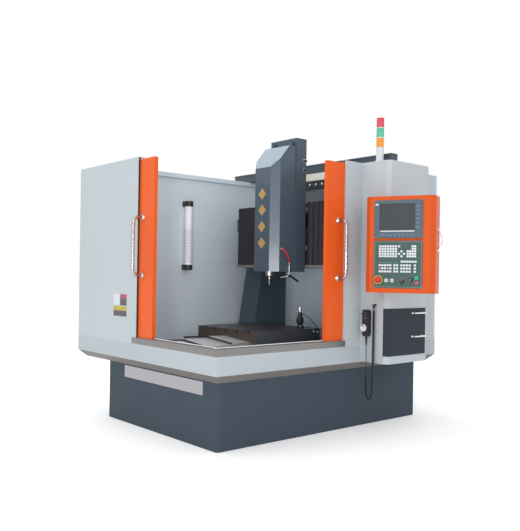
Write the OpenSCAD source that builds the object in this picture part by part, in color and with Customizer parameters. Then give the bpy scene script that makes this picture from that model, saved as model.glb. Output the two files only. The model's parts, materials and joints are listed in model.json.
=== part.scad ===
// Bridge type CNC milling center with a sheet-metal enclosure and a corner opening.
// Front is -Y, right is +X, the floor is z = 0 and the origin is the middle of the plinth's underside.

/* [Base] */
// Width of the plinth
base_w = 1310; // [1250:5:1360]
// Depth of the plinth
base_d = 1887; // [1840:1:1960]
// Height of the plinth
base_h = 408; // [380:1:440]
// Bevel on the plinth's upright edges
base_bevel = 14; // [4:1:30]

/* [Enclosure] */
// Reach of the enclosure past the plinth on the left
left_overhang = 402; // [360:1:440]
// Reach of the enclosure past the plinth at the back
back_overhang = 185; // [120:1:260]
// Height and inset of the sloped skirt under the band
skirt_h = 48; // [30:1:60]
// Height of the plain band above the skirt
band_h = 114; // [100:1:140]
// Height of the panels above the band
panel_h = 1266; // [1220:1:1320]
// Thickness of the folded sheet metal
sheet = 3; // [2:0.5:4]
// Depth of the folded edges of a panel
pan_d = 14; // [10:1:18]
// Width of the front panel
front_panel_w = 852; // [840:1:880]
// Depth of the right-hand panel
right_panel_d = 1040; // [1020:1:1080]
// Width of the closed housing on the left
housing_w = 360; // [340:1:380]
// Height of the stainless door sill
rim_h = 42; // [36:1:50]
// Depth of the stainless door sill
rim_d = 64; // [60:1:72]
// Overlap of the sill's front run with the front panel
rim_front_lap = 56; // [40:1:70]
// Overlap of the sill's right-hand run with the right panel
rim_right_lap = 14; // [10:1:40]

/* [Doors] */
// Thickness of a sliding door
door_t = 28; // [24:1:32]
// Running gap between a door and the panel it slides behind
door_gap = 1.5; // [1:0.5:3]
// Width of the left door
left_door_w = 880; // [840:1:900]
// Width of the left door that shows beside the front panel
left_stile_w = 180; // [170:1:190]
// Width of the right door
right_door_w = 1110; // [1080:1:1130]
// Width of the right door that shows beside the right panel
right_stile_w = 168; // [160:1:180]
// Gap between the top of a door and the top of the panels
door_top_gap = 16; // [10:1:24]
// Thickness of the window panes
glass_t = 5; // [4:0.5:8]
// Height of the window's lower edge above the sill
window_sill = 290; // [250:1:340]
// Height of the door windows
window_h = 780; // [700:1:820]
// Width of the frame left around a window at the hidden edge of a door
door_frame_w = 80; // [60:1:110]
// Distance between the posts of a door handle
handle_span = 390; // [340:1:430]
// Radius of a door handle's bar
handle_r = 11; // [9:0.5:14]
// Distance from the door's face to the middle of the bar
handle_standoff = 75; // [60:1:85]
// Distance of a handle from the edge of the fixed panel beside it
handle_inset = 46; // [40:1:60]
// Height of a handle's lower post above the sill
handle_rise = 423; // [380:1:460]

/* [Bed and table] */
// Width of the table
table_w = 670; // [640:2:690]
// Depth of the table
table_d = 610; // [570:1:640]
// Thickness of the table
table_t = 45; // [42:1:50]
// Height of the table's top above the plinth
table_rise = 256; // [250:1:262]
// Front edge of the table, in front of the middle of the plinth
table_front = 380; // [370:1:400]
// Number of T-slots
slot_count = 5; // [3:1:5]
// Distance between T-slots
slot_pitch = 125; // [115:1:128]
// Width of a T-slot's mouth
slot_w = 14; // [12:1:18]
// Depth of a T-slot's mouth
slot_mouth = 12; // [10:1:13]
// Width of a T-slot's head
slot_head_w = 24; // [22:1:28]
// Height of a T-slot's head
slot_head_h = 10; // [8:1:12]
// Width of the bed under the table
bed_w = 500; // [460:2:540]
// Height of the bed
bed_h = 127; // [120:1:132]
// Distance from the bed's front end to the middle of the plinth
bed_front = 800; // [780:1:820]
// Distance from the bed's back end to the middle of the plinth
bed_back = 650; // [630:1:680]
// Distance between the two table rails
y_rail_gap = 400; // [370:1:420]
// Length of the sheet plates in front of the table
cover_len = 330; // [325:1:340]
// Width of the lowest of these plates
cover_w = 538; // [530:2:550]
// Vertical step from one plate to the next
cover_step = 10; // [8:0.5:11]
// Front edge of the fixed plate, in front of the middle of the plinth
cover_front = 885; // [875:1:892]
// Fall of the roof-shaped front plates from ridge to edge
cover_fall = 26; // [18:0.5:28]
// Depth of the table's side walls below its plate
table_wall_h = 50; // [40:1:52]
// Thickness of the table's side walls
table_wall_t = 20; // [15:1:25]

/* [Bridge] */
// Width of a column
column_w = 204; // [190:1:215]
// Clear width between the columns
portal_w = 800; // [796:1:810]
// Depth of a column at its top
column_d = 263; // [250:1:280]
// Reach of a column's foot past its top at the front
column_reach = 120; // [100:1:130]
// Height of the columns
column_h = 697; // [685:1:705]
// Back face of the bridge, behind the middle of the plinth
bridge_back = 567; // [550:1:580]
// Height of the crossbeam
beam_h = 475; // [465:1:485]
// Length of the crossbeam
beam_w = 1090; // [1080:2:1110]
// Depth of the crossbeam
beam_d = 407; // [395:1:420]
// Height of the cable tray over the bridge
tray_h = 71; // [60:1:80]
// Width of the cable tray
tray_w = 70; // [60:1:76]
// Reach of the cable tray left of the plinth's middle
tray_left = 883; // [850:1:900]
// Height of the lower rail above the crossbeam's underside
low_rail_rise = 145; // [130:1:160]
// Height of the upper rail above the crossbeam's underside
high_rail_rise = 425; // [420:1:432]
// Height of the X ballscrew above the crossbeam's underside
x_screw_rise = 345; // [330:1:360]
// Width of the linear rails
rail_w = 34; // [30:1:36]
// Height of the linear rails
rail_h = 30; // [27:1:32]
// Width covered by the bellows, from end to end
bellows_w = 1000; // [980:2:1020]
// Height of the bellows
bellows_h = 455; // [430:1:470]
// Depth of one bellows fold
fold_d = 16; // [14:0.5:17]
// Length of one bellows fold
fold_pitch = 22; // [18:1:26]
// Thickness of the bellows cloth
fold_t = 2; // [1.5:0.5:3]

/* [Drives] */
// Radius of a ballscrew
screw_r = 16; // [14:0.5:18]
// Radius of a ballscrew's end journal
journal_r = 12; // [10:0.5:13]
// Size across the flats of an axis motor
motor_w = 80; // [76:1:84]
// Length of an axis motor
motor_len = 140; // [120:1:145]

/* [Head] */
// Place of the spindle to the right of the middle
spindle_x = 159; // [120:1:180]
// Place of the spindle in front of the middle
spindle_y = 115.5; // [110:0.5:120]
// Width of the head cover
head_w = 262; // [256:1:280]
// Bevel on the front edges of the head cover
head_bevel = 50; // [40:1:60]
// Distance from the spindle to the front of the head cover
head_front = 76.5; // [72:0.5:84]
// Height of the head cover's underside above the table's top
head_rise = 410; // [400:1:430]
// Height of the head cover's front face
head_front_h = 738; // [700:1:760]
// Height of the head cover's back edge
head_back_h = 900; // [860:1:915]
// Width of the carriage
carriage_w = 274; // [272:1:300]
// Depth of the carriage
carriage_d = 100; // [98:1:103]
// Height of the carriage
carriage_h = 960; // [945:1:990]
// Radius of the spindle unit
spindle_r = 50; // [46:0.5:52]
// Length of the spindle unit above the cover's underside
spindle_len = 400; // [360:1:430]
// Radius of the spindle nose
nose_r = 29; // [26:0.5:32]
// Length of the spindle nose
nose_len = 35; // [30:1:40]
// Radius of the tool's shank
tool_r = 5; // [3:0.5:6]
// Length of tool below the nose
tool_len = 58; // [40:1:70]
// Radius of the coolant hose
hose_r = 6; // [5:0.5:7]

/* [Control cabinet] */
// Reach of the cabinet past the right panel
cab_w = 235; // [225:1:250]
// Depth of the cabinet
cab_d = 436; // [420:1:450]
// Distance from the right panel's front edge to the cabinet
cab_setback = 164; // [150:1:180]
// Height of the cabinet's underside above the skirt
cab_lift = 5; // [0:1:20]
// Bevel on the cabinet's front edge
cab_bevel = 27; // [20:1:34]
// Height of the lower drawer's front above the cabinet's underside
drawer_rise = 53; // [40:1:70]
// Height of a drawer front
drawer_h = 159; // [150:1:166]
// Gap between the drawer fronts
drawer_gap = 3; // [2:0.5:5]
// Thickness of a drawer front
drawer_t = 4; // [3:0.5:6]
// Height of a drawer's box
drawer_box_h = 120; // [100:1:126]
// Radius of the signal tower
tower_r = 26; // [22:0.5:28]
// Height of one lamp of the signal tower
tower_lamp_h = 66; // [56:1:72]
// Height of the signal tower's base
tower_base_h = 106; // [90:1:120]

/* [Control box] */
// Turn of the control box from the front, in degrees
box_yaw = 24.4; // [18:0.1:28]
// Width of the control box
box_w = 452; // [444:1:470]
// Height of the control box
box_h = 624; // [618:1:634]
// Depth of the control box
box_d = 145; // [135:1:155]
// Height of the control box's underside above the cabinet's
box_rise = 486; // [470:1:500]
// Bevel on the control box's front edges
box_bevel = 30; // [24:1:34]
// Width of the display and key modules
module_w = 316; // [306:1:320]
// Height of the display module
display_h = 245; // [240:1:250]
// Height of the key module
keypad_h = 304; // [300:1:306]
// Depth of the recess for the modules
module_recess = 8; // [6:0.5:10]
// Thickness of the modules
module_t = 12; // [11:0.5:14]
// Width of the screen
screen_w = 220; // [210:1:226]
// Height of the screen
screen_h = 166; // [158:1:172]
// Radius of the swivel pin
swivel_r = 12; // [10:0.5:14]

/* [Pendant and light] */
// Width of the hand pendant
pendant_w = 56; // [54:1:60]
// Height of the hand pendant
pendant_h = 182; // [176:1:188]
// Depth of the hand pendant
pendant_d = 30; // [29:0.5:32]
// Radius of the pendant's hand dial
dial_r = 25; // [22:0.5:28]
// Radius of the straight lead
lead_r = 3; // [2:0.5:4]
// Outer radius of the curly cord
curl_r = 9.5; // [8:0.5:10]
// Radius of the work light's lens
light_r = 30; // [26:0.5:34]
// Length of the work light
light_len = 545; // [500:1:580]

/* [Fits] */
// Gap between pieces that rest or slide on each other
seat_gap = 0.3; // [0.2:0.05:0.4]
// Radial running clearance of turning pieces
run_gap = 0.05; // [0.02:0.01:0.08]

/* [Hidden] */
$fn = 48;
eps = 1;

// Planes of the enclosure
base_x = base_w / 2;
base_y = base_d / 2;
encl_right = base_x + skirt_h;
encl_left = -base_x - left_overhang;
encl_front = -base_y - skirt_h;
encl_back = base_y + back_overhang;
band_z = base_h + skirt_h;
rim_z = band_z + band_h;
rim_top = rim_z + rim_h;
panel_top = rim_z + panel_h;
floor_z = base_h + sheet;
housing_x1 = encl_left + housing_w;
front_panel_x1 = encl_left + front_panel_w;
right_panel_y0 = encl_back - right_panel_d;
rim_x0 = front_panel_x1 - rim_front_lap;
rim_y1 = right_panel_y0 + rim_right_lap;

// Doors and their sill tracks
left_door_y0 = encl_front + pan_d + door_gap;
left_door_y1 = left_door_y0 + door_t;
right_door_x1 = encl_right - pan_d - door_gap;
right_door_x0 = right_door_x1 - door_t;
left_door_x1 = front_panel_x1 + left_stile_w;
left_door_x0 = left_door_x1 - left_door_w;
right_door_y0 = right_panel_y0 - right_stile_w;
right_door_y1 = right_door_y0 + right_door_w;
door_z0 = rim_top + seat_gap;
door_z1 = panel_top - door_top_gap;
cap_d = pan_d + door_t + 2 * door_gap + 5;
track_w = 6;
track_h = 10;
track_gap = 1;
window_z0 = rim_top + window_sill;
window_z1 = window_z0 + window_h;
glass_lip = 12;
handle_z0 = rim_top + handle_rise;
handle_x = front_panel_x1 + handle_inset;
handle_y = right_panel_y0 - handle_inset - handle_r;
handle_bend_r = 40;

// Bridge
portal_x = portal_w / 2;
column_x1 = portal_x + column_w;
bridge_z = base_h + column_h;
column_top_y = bridge_back - column_d;
column_foot_y = column_top_y - column_reach;
beam_front = bridge_back - beam_d;
beam_top = bridge_z + beam_h;
low_rail_z = bridge_z + low_rail_rise;
high_rail_z = bridge_z + high_rail_rise;
rail_front = beam_front - rail_h;
lip_h = 20;
bellows_z0 = bridge_z + lip_h + seat_gap;
fold_y1 = rail_front - 2;
fold_y0 = fold_y1 - fold_d;
lip_y0 = fold_y0 - 1;
bellows_x = bellows_w / 2;
beam_x = beam_w / 2;

// Ballscrew pockets
screw_pocket = motor_w + 20;
x_screw_z = bridge_z + x_screw_rise;
x_screw_y = beam_front + 30;
x_screw_inset = 25;
x_screw_x0 = x_screw_inset - beam_x;
x_screw_x1 = portal_x - 35;
bearing_t = 40;
y_screw_z = base_h + bed_h - 45;
y_screw_y0 = -bed_front + 80;
y_screw_y1 = bed_back - 150;
z_screw_len = 610;

// Head and carriage
spindle_ax = spindle_x;
spindle_ay = -spindle_y;
table_top = base_h + table_rise;
table_z0 = table_top - table_t;
head_z = table_top + head_rise;
head_y0 = spindle_ay - head_front;
carriage_back = lip_y0 - 6;
carriage_front = carriage_back - carriage_d;
head_y1 = carriage_front - 2;
head_x0 = spindle_ax - head_w / 2;
head_x1 = spindle_ax + head_w / 2;
carriage_x0 = spindle_ax - carriage_w / 2;
carriage_x1 = spindle_ax + carriage_w / 2;
carriage_z1 = head_z + carriage_h;
z_rail_w = 30;
z_rail_h = 23;
z_rail_off = 95;
cavity_w = motor_w + 58;
cavity_d = motor_w + 5;
slide_y1 = carriage_front - z_rail_h - 17;
slide_t = 25;
slide_rise = 66;
slide_h = 560;
clamp_h = 250;
nut_rise = 300;
nut_h = 60;
guide_rise = 180;
guide_pitch = 240;
guide_h = 80;
slide_y0 = slide_y1 - slide_t;
z_screw_y = carriage_front + cavity_d / 2;
z_screw_z0 = head_z + 56;
z_screw_z1 = z_screw_z0 + z_screw_len;
nose_z = head_z - nose_len;
tool_z = nose_z - tool_len;
shaft_r = 15;

// Table, rails and covers
table_x = table_w / 2;
table_y0 = -table_front;
table_y1 = table_y0 + table_d;
bed_top = base_h + bed_h;
y_rail_h = 26;
block_w = 60;
block_y0 = table_y0 + 230;
fixed_z = table_z0 - 5 - 2 * cover_step;
mid_z = fixed_z + cover_step;
top_z = mid_z + cover_step;
cover_x = cover_w / 2;
fixed_y0 = -cover_front;
mid_y0 = fixed_y0 + 150;
top_y0 = mid_y0 + 192;
lip_gap = 3;
top_cover_x = cover_x + 2 * (sheet + lip_gap);
setter_x = table_x - 103;
setter_y = table_y1 - 103;
setter_h = 150;
setter_r = 27;
neck_r = 15;
plunger_r = 10;
plunger_h = 36;

// Control cabinet
cab_x0 = encl_right;
cab_x1 = cab_x0 + cab_w;
cab_y0 = right_panel_y0 + cab_setback;
cab_y1 = cab_y0 + cab_d;
cab_z0 = band_z + cab_lift;
drawer_z0 = cab_z0 + drawer_rise;
drawer_pitch = drawer_h + drawer_gap;
drawer_y1 = cab_y1 - 18;
drawer_box_x0 = cab_x0 + 15;
drawer_box_y0 = cab_y0 + cab_bevel + 20;
drawer_box_y1 = cab_y1 - 45;
drawer_lift = 8;
drawer_wall = 2;
drawer_side_gap = 3;
pull_r = 5;
pull_out = 25;
pull_len = 110;
tower_x = cab_x0 + 79;
tower_y = cab_y0 + 88;
tower_z = panel_top + tower_base_h;
tower_foot_r = tower_r + 14;

// Control box, in its own turned frame about the swivel pin
pivot_x = cab_x0 + 100;
pivot_y = cab_y0 - 45;
box_x0 = 28;
box_x1 = box_x0 + box_w;
box_back = -25;
box_front = box_back - box_d;
box_z0 = cab_z0 + box_rise;
box_mid = (box_x0 + box_x1) / 2;
module_shift = 8.5;
module_x0 = box_mid - module_shift - module_w / 2;
module_x1 = module_x0 + module_w;
keypad_z0 = box_z0 + 32;
keypad_z1 = keypad_z0 + keypad_h;
display_z0 = keypad_z1 + 17;
display_z1 = display_z0 + display_h;
module_y0 = box_front + module_recess - module_t;
screen_x0 = module_x0 + 41;
screen_z1 = display_z1 - 28;
barrel_r = swivel_r + 8;
barrel_rise = 183;
barrel_h = 280;
swivel_z0 = box_z0 + barrel_rise;
swivel_z1 = swivel_z0 + barrel_h;
arm_t = 30;
grip_rise = 342;

// Operating elements, as right and down from the key module's upper left corner
layout_w = 361;
key_u = module_w / layout_w;
estop_at = [37 * key_u, 253];
override_at = [214 * key_u, 262];
start_at = [99 * key_u, 256];
hold_at = [142 * key_u, 256];
key_switch_at = [279 * key_u, 251];
square_at = [309, 227];
square_w = 22;
square_pitch = 31;
// Key blocks: place in the layout, count and pitch
key_blocks = [
    [[40, 30], [7, 5], [20, 16]], [[246, 62], [4, 3], [18, 16]], [[282, 30], [2, 2], [18, 16]],
    [[201, 62], [1, 1], [18, 16]], [[201, 94], [1, 1], [18, 16]], [[183, 78], [1, 1], [18, 16]],
    [[219, 78], [1, 1], [18, 16]], [[204, 128], [6, 1], [20, 16]], [[40, 152], [5, 3], [20, 20]],
    [[150, 152], [2, 3], [20, 20]], [[202, 152], [4, 3], [20, 20]], [[300, 152], [1, 3], [20, 20]]];
lamp_button_r = 12;
lamp_button_h = 8;
estop_stem_r = 11;
collar_h = 4;
override_stem_r = 4;

// Pendant, cord and light
pendant_x = cab_x0 + 70;
pendant_z0 = drawer_z0 + 126;
pendant_z1 = pendant_z0 + pendant_h;
pendant_y0 = cab_y0 - pendant_d;
relief_len = 28;
dial_at = [pendant_x - 11, pendant_z0 + 58];
dial_stem_r = 4;
lead_from = [pendant_x + 5, cab_y0, pendant_z0];
gland_at = lead_from + [62, -20.5, 195];
lead_route = [for (p = [[0, -22.5, -28], [0, -22.5, -46], [0, -22.5, -64], [0, -22.5, -82],
    [1, -22.5, -100], [1, -22.5, -118], [2, -23.5, -136], [2, -23.5, -154], [3, -23.5, -172],
    [4, -23.5, -190], [4, -24.5, -208], [5, -24.5, -226], [5, -24.5, -248]]) lead_from + p];
curl_route = [for (p = [[5, -24.5, -248], [5, -24.5, -290], [5, -24.5, -330], [6, -24.5, -360],
    [9, -24.5, -385], [14, -24.5, -404], [23, -24.5, -419], [34, -24.5, -424], [45, -24.5, -419],
    [54, -24.5, -404], [59, -24.5, -385], [62, -24.5, -360], [63, -24.5, -330], [63, -24.5, -290],
    [63, -23.5, -240], [63, -22.5, -190], [63, -21.5, -140], [62, -21.5, -90], [62, -20.5, -40],
    [62, -20.5, 10], [62, -20.5, 60], [62, -20.5, 110], [62, -20.5, 160],
    [62, -20.5, 195]]) lead_from + p];
setter_from = [setter_x + neck_r, setter_y, table_top];
setter_route = [for (p = [[0.5, 0, 100], [9, 2, 101], [19, 7, 99], [30, 15, 93], [41, 24, 84],
    [52, 34, 73], [62, 44, 60], [71, 54, 45], [79, 63, 30], [86, 70, 16], [91, 75, 2], [93, 78, -12],
    [93, 79, -24], [93, 79, -34]]) setter_from + p];
hose_from = [head_x1, spindle_ay, head_z];
hose_route = [for (p = [[0.5, -9.5, 161], [9, -9.5, 161], [17, -5.5, 157], [22, 3.5, 148],
    [24, 15.5, 135], [24, 27.5, 120], [22, 39.5, 103], [18, 50.5, 86], [14, 57.5, 73], [12, 60.5, 63],
    [12, 60.5, 54]]) hose_from + p];
light_off = 46;
light_in = 728.5;
light_rise = 465;
light_at = [housing_x1 + light_off, encl_front + light_in, rim_top + light_rise];
light_clamp = 42;
valve_at = hose_from + [12, 60.5, -30];
valve_half = 10;
lever_stem_r = 4;

// A box between two limits on each axis
module block(x, y, z) {
    translate([x[0], y[0], z[0]]) cube([x[1] - x[0], y[1] - y[0], z[1] - z[0]]);
}

// Round bars along each axis
module bar_x(r, x, y, z) {
    translate([x[0], y, z]) rotate([0, 90, 0]) cylinder(r = r, h = x[1] - x[0]);
}
module bar_y(r, x, y, z) {
    translate([x, y[0], z]) rotate([-90, 0, 0]) cylinder(r = r, h = y[1] - y[0]);
}
module bar_z(r, x, y, z) {
    translate([x, y, z[0]]) cylinder(r = r, h = z[1] - z[0]);
}

// A flat outline in X and Z, drawn out between two limits along Y
module along_y(y) {
    translate([0, y[1], 0]) rotate([90, 0, 0]) linear_extrude(y[1] - y[0]) children();
}

// A tray form whose lower edges slope in all round
module sloped_tray(x, y, z, slope) {
    intersection() {
        translate([0, y[1], 0]) rotate([90, 0, 0]) linear_extrude(y[1] - y[0])
            polygon([[x[0] + slope, z[0]], [x[1] - slope, z[0]], [x[1], z[0] + slope], [x[1], z[1]],
                [x[0], z[1]], [x[0], z[0] + slope]]);
        translate([x[0], 0, 0]) rotate([90, 0, 90]) linear_extrude(x[1] - x[0])
            polygon([[y[0] + slope, z[0]], [y[1] - slope, z[0]], [y[1], z[0] + slope], [y[1], z[1]],
                [y[0], z[1]], [y[0], z[0] + slope]]);
    }
}

// Vectors along a route, and a tube swept along it
function unit(v) = v / norm(v);
function heading(p, i) = unit(p[min(i + 1, len(p) - 1)] - p[max(i - 1, 0)]);
function ring(p, i, r, n, side) =
    let (t = heading(p, i), a = unit(cross(t, side)), b = cross(a, t))
    [for (k = [0 : n - 1]) p[i] + r * (cos(360 * k / n) * a + sin(360 * k / n) * b)];
module tube(p, r, n, side) {
    last = len(p) - 1;
    points = [for (i = [0 : last]) each ring(p, i, r, n, side)];
    walls = [for (i = [0 : last - 1], k = [0 : n - 1])
        [i * n + k, i * n + (k + 1) % n, (i + 1) * n + (k + 1) % n, (i + 1) * n + k]];
    near_end = [for (k = [n - 1 : -1 : 0]) k];
    far_end = [for (k = [0 : n - 1]) last * n + k];
    polyhedron(points, concat(walls, [near_end, far_end]));
}

// Plinth
module machine_base() {
    color("#3f4a52") linear_extrude(base_h)
        polygon([[-base_x + base_bevel, -base_y], [base_x - base_bevel, -base_y],
            [base_x, -base_y + base_bevel], [base_x, base_y - base_bevel], [base_x - base_bevel, base_y],
            [-base_x + base_bevel, base_y], [-base_x, base_y - base_bevel],
            [-base_x, -base_y + base_bevel]]);
}

// Chip tray with its sloped skirt, cut out where the bed and the columns stand on the plinth
module lower_tub() {
    foot_gap = 1;
    color("#cfd2d6") difference() {
        sloped_tray([encl_left, encl_right], [encl_front, encl_back], [base_h, rim_z], skirt_h);
        sloped_tray([encl_left + sheet, encl_right - sheet], [encl_front + sheet, encl_back - sheet],
            [floor_z, rim_z + skirt_h], skirt_h);
        block([-bed_w / 2 - foot_gap, bed_w / 2 + foot_gap], [-bed_front - foot_gap, bed_back + foot_gap],
            [base_h - eps, floor_z + eps]);
        for (s = [-1, 1])
            block([s * (portal_x + column_x1) / 2 - column_w / 2 - foot_gap,
                s * (portal_x + column_x1) / 2 + column_w / 2 + foot_gap],
                [column_foot_y - foot_gap, bridge_back + foot_gap], [base_h - eps, floor_z + eps]);
    }
}

// Stainless sill of the corner opening, with a running track for each door
module rim_trim() {
    left_track_y = (left_door_y0 + left_door_y1) / 2;
    right_track_x = (right_door_x0 + right_door_x1) / 2;
    color("#b9bcbf") {
        difference() {
            union() {
                block([rim_x0, encl_right], [encl_front, encl_front + rim_d], [rim_z, rim_top]);
                block([encl_right - rim_d, encl_right], [encl_front, rim_y1], [rim_z, rim_top]);
            }
            block([rim_x0 - eps, encl_right - sheet], [encl_front + sheet, encl_front + rim_d - sheet],
                [rim_z - eps, rim_top - sheet]);
            block([encl_right - rim_d + sheet, encl_right - sheet], [encl_front + sheet, rim_y1 + eps],
                [rim_z - eps, rim_top - sheet]);
        }
        block([rim_x0, right_door_x0 - 2 * door_gap],
            [left_track_y - track_w / 2, left_track_y + track_w / 2], [rim_top - sheet, rim_top + track_h]);
        block([right_track_x - track_w / 2, right_track_x + track_w / 2], [encl_front + sheet, rim_y1],
            [rim_top - sheet, rim_top + track_h]);
    }
}

// Closed sheet-metal housing on the left, with the work area's left wall reaching down to the tray
module left_housing() {
    y0 = encl_front + cap_d;
    wall_y = [encl_front + skirt_h + 2 * sheet, encl_back - skirt_h - 2 * sheet];
    top_lip_w = 25;
    top_lip_h = 33;
    color("#c9ccd2") {
        difference() {
            block([encl_left, housing_x1], [y0, encl_back], [rim_z, panel_top]);
            block([encl_left + sheet, housing_x1 - sheet], [y0 + sheet, encl_back - sheet],
                [rim_z - eps, panel_top - sheet]);
        }
        block([housing_x1 - sheet, housing_x1], wall_y, [floor_z, rim_z + eps]);
        block([housing_x1 - eps, housing_x1 + top_lip_w], [y0, encl_back - pan_d],
            [panel_top - top_lip_h, panel_top]);
    }
}

// Front panel, folded back at the left and over the door's track
module front_panel() {
    color("#c9ccd2") difference() {
        block([encl_left, front_panel_x1], [encl_front, encl_front + cap_d], [rim_z, panel_top]);
        block([encl_left + sheet, front_panel_x1 - sheet], [encl_front + sheet, encl_front + pan_d + eps],
            [rim_z + sheet, panel_top - sheet]);
        block([encl_left + sheet, front_panel_x1 + eps], [encl_front + pan_d, encl_front + cap_d + eps],
            [rim_z - eps, panel_top - sheet]);
        block([rim_x0, front_panel_x1 + eps], [encl_front - eps, encl_front + cap_d],
            [rim_z - eps, rim_top]);
    }
}

// Back panel with its folded edges and upright stiffeners
module rear_panel() {
    stiffener_w = 40;
    stiffener_count = 4;
    span = encl_right - housing_x1;
    color("#c3c7cc") {
        difference() {
            block([housing_x1, encl_right], [encl_back - pan_d, encl_back], [rim_z, panel_top]);
            block([housing_x1 + sheet, encl_right - sheet], [encl_back - pan_d - eps, encl_back - sheet],
                [rim_z + sheet, panel_top - sheet]);
        }
        for (i = [1 : stiffener_count])
            block([housing_x1 + i * span / (stiffener_count + 1) - stiffener_w / 2,
                housing_x1 + i * span / (stiffener_count + 1) + stiffener_w / 2],
                [encl_back - pan_d, encl_back - sheet + eps / 2], [rim_z + sheet / 2, panel_top - sheet / 2]);
    }
}

// Right-hand panel, folded over the door's track at the top
module right_panel() {
    y1 = encl_back - pan_d;
    color("#c9ccd2") difference() {
        block([encl_right - cap_d, encl_right], [right_panel_y0, y1], [rim_z, panel_top]);
        block([encl_right - pan_d - eps, encl_right - sheet], [right_panel_y0 + sheet, y1 - sheet],
            [rim_z + sheet, panel_top - sheet]);
        block([encl_right - cap_d - eps, encl_right - pan_d], [right_panel_y0 - eps, y1 + eps],
            [rim_z - eps, panel_top - sheet]);
        block([encl_right - cap_d - eps, encl_right + eps], [right_panel_y0 - eps, rim_y1],
            [rim_z - eps, rim_top]);
    }
}

// Plan outline of the control cabinet, moved in by an inset
module cabinet_outline(inset) {
    turn = inset * tan(22.5);
    polygon([[cab_x0 + min(inset, 0), cab_y0 + inset], [cab_x1 - cab_bevel - turn, cab_y0 + inset],
        [cab_x1 - inset, cab_y0 + cab_bevel + turn], [cab_x1 - inset, cab_y1 - inset],
        [cab_x0 + min(inset, 0), cab_y1 - inset]]);
}

// Heights of the drawer shelves
function shelf_z(i) = drawer_z0 + i * drawer_pitch + drawer_lift;

// Control cabinet with its drawer shelves and the swivel bracket of the control box
module control_cabinet() {
    color("#cdd1d6") {
        difference() {
            translate([0, 0, cab_z0]) linear_extrude(panel_top - cab_z0) cabinet_outline(0);
            translate([0, 0, cab_z0 + sheet]) linear_extrude(panel_top - cab_z0 - 2 * sheet)
                union() {
                    cabinet_outline(sheet);
                    translate([cab_x0 - eps, cab_y0 + sheet]) square([2 * eps, cab_d - 2 * sheet]);
                }
            for (i = [0, 1])
                block([cab_x1 - 2 * sheet, cab_x1 + eps],
                    [drawer_box_y0 - drawer_side_gap, drawer_box_y1 + drawer_side_gap],
                    [shelf_z(i), shelf_z(i) + drawer_box_h + drawer_side_gap]);
        }
        for (i = [0, 1])
            block([cab_x0, cab_x1 - sheet / 2], [cab_y0 + cab_bevel + sheet, cab_y1 - sheet / 2],
                [shelf_z(i) - sheet, shelf_z(i)]);
        for (z = [swivel_z0 - seat_gap - arm_t, swivel_z1 + seat_gap]) {
            block([pivot_x - barrel_r, pivot_x + barrel_r], [pivot_y, cab_y0 + sheet / 2], [z, z + arm_t]);
            bar_z(barrel_r, pivot_x, pivot_y, [z, z + arm_t]);
        }
        bar_z(swivel_r, pivot_x, pivot_y, [swivel_z0 - arm_t, swivel_z1 + arm_t]);
    }
}

// Clamps and back channel of the work light on the left wall
module work_light_housing() {
    x = light_at[0];
    y = light_at[1];
    clamp_r = light_r + 5;
    color("#2c2f33") {
        for (z = [light_at[2], light_at[2] + light_len - light_clamp]) difference() {
            union() {
                bar_z(clamp_r, x, y, [z, z + light_clamp]);
                block([housing_x1, x], [y - light_r, y + light_r], [z, z + light_clamp]);
            }
            bar_z(light_r + seat_gap, x, y,
                [z == light_at[2] ? z + sheet : z - eps, z == light_at[2] ? z + light_clamp + eps
                    : z + light_clamp - sheet]);
        }
    }
}

// Clear tube of the work light
module work_light_lens() {
    z0 = light_at[2] + sheet + seat_gap;
    z1 = light_at[2] + light_len - sheet - seat_gap;
    rib_pitch = 36;
    color("#f2f4f5") {
        bar_z(light_r - 2, light_at[0], light_at[1], [z0, z1]);
        bar_z(light_r, light_at[0], light_at[1], [z0, z0 + light_clamp]);
        bar_z(light_r, light_at[0], light_at[1], [z1 - light_clamp, z1]);
        for (z = [z0 + light_clamp + rib_pitch : rib_pitch : z1 - light_clamp - rib_pitch])
            bar_z(light_r, light_at[0], light_at[1], [z, z + 4]);
    }
}

// Bed casting with the table's rails and the screw's bearing blocks
module y_bed() {
    groove = screw_pocket / 2;
    groove_z = y_screw_z - motor_w / 2;
    color("#565d63") {
        difference() {
            block([-bed_w / 2, bed_w / 2], [-bed_front, bed_back], [base_h, bed_top]);
            block([-groove, groove], [-bed_front - eps, bed_back + eps], [groove_z, bed_top + eps]);
        }
        difference() {
            for (y = [y_screw_y0 - bearing_t, y_screw_y1])
                block([-groove - eps, groove + eps], [y, y + bearing_t], [groove_z - eps, bed_top]);
            bar_y(journal_r + run_gap, 0, [y_screw_y0 - bearing_t - eps, y_screw_y1 + bearing_t + eps],
                y_screw_z);
        }
        for (s = [-1, 1])
            block([s * y_rail_gap / 2 - rail_w / 2, s * y_rail_gap / 2 + rail_w / 2],
                [-bed_front + 30, bed_back - 30], [bed_top - eps, bed_top + y_rail_h]);
    }
}

// A ballscrew along Z from z = 0, with a journal in a bearing at each end
module ballscrew(len) {
    shoulder = 1;
    translate([0, 0, shoulder]) cylinder(r = screw_r, h = len - 2 * shoulder);
    translate([0, 0, -bearing_t]) cylinder(r = journal_r, h = len + 2 * bearing_t);
}

module y_ballscrew() {
    color("#9aa0a6") translate([0, y_screw_y0, y_screw_z]) rotate([-90, 0, 0])
        ballscrew(y_screw_y1 - y_screw_y0);
}

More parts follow.
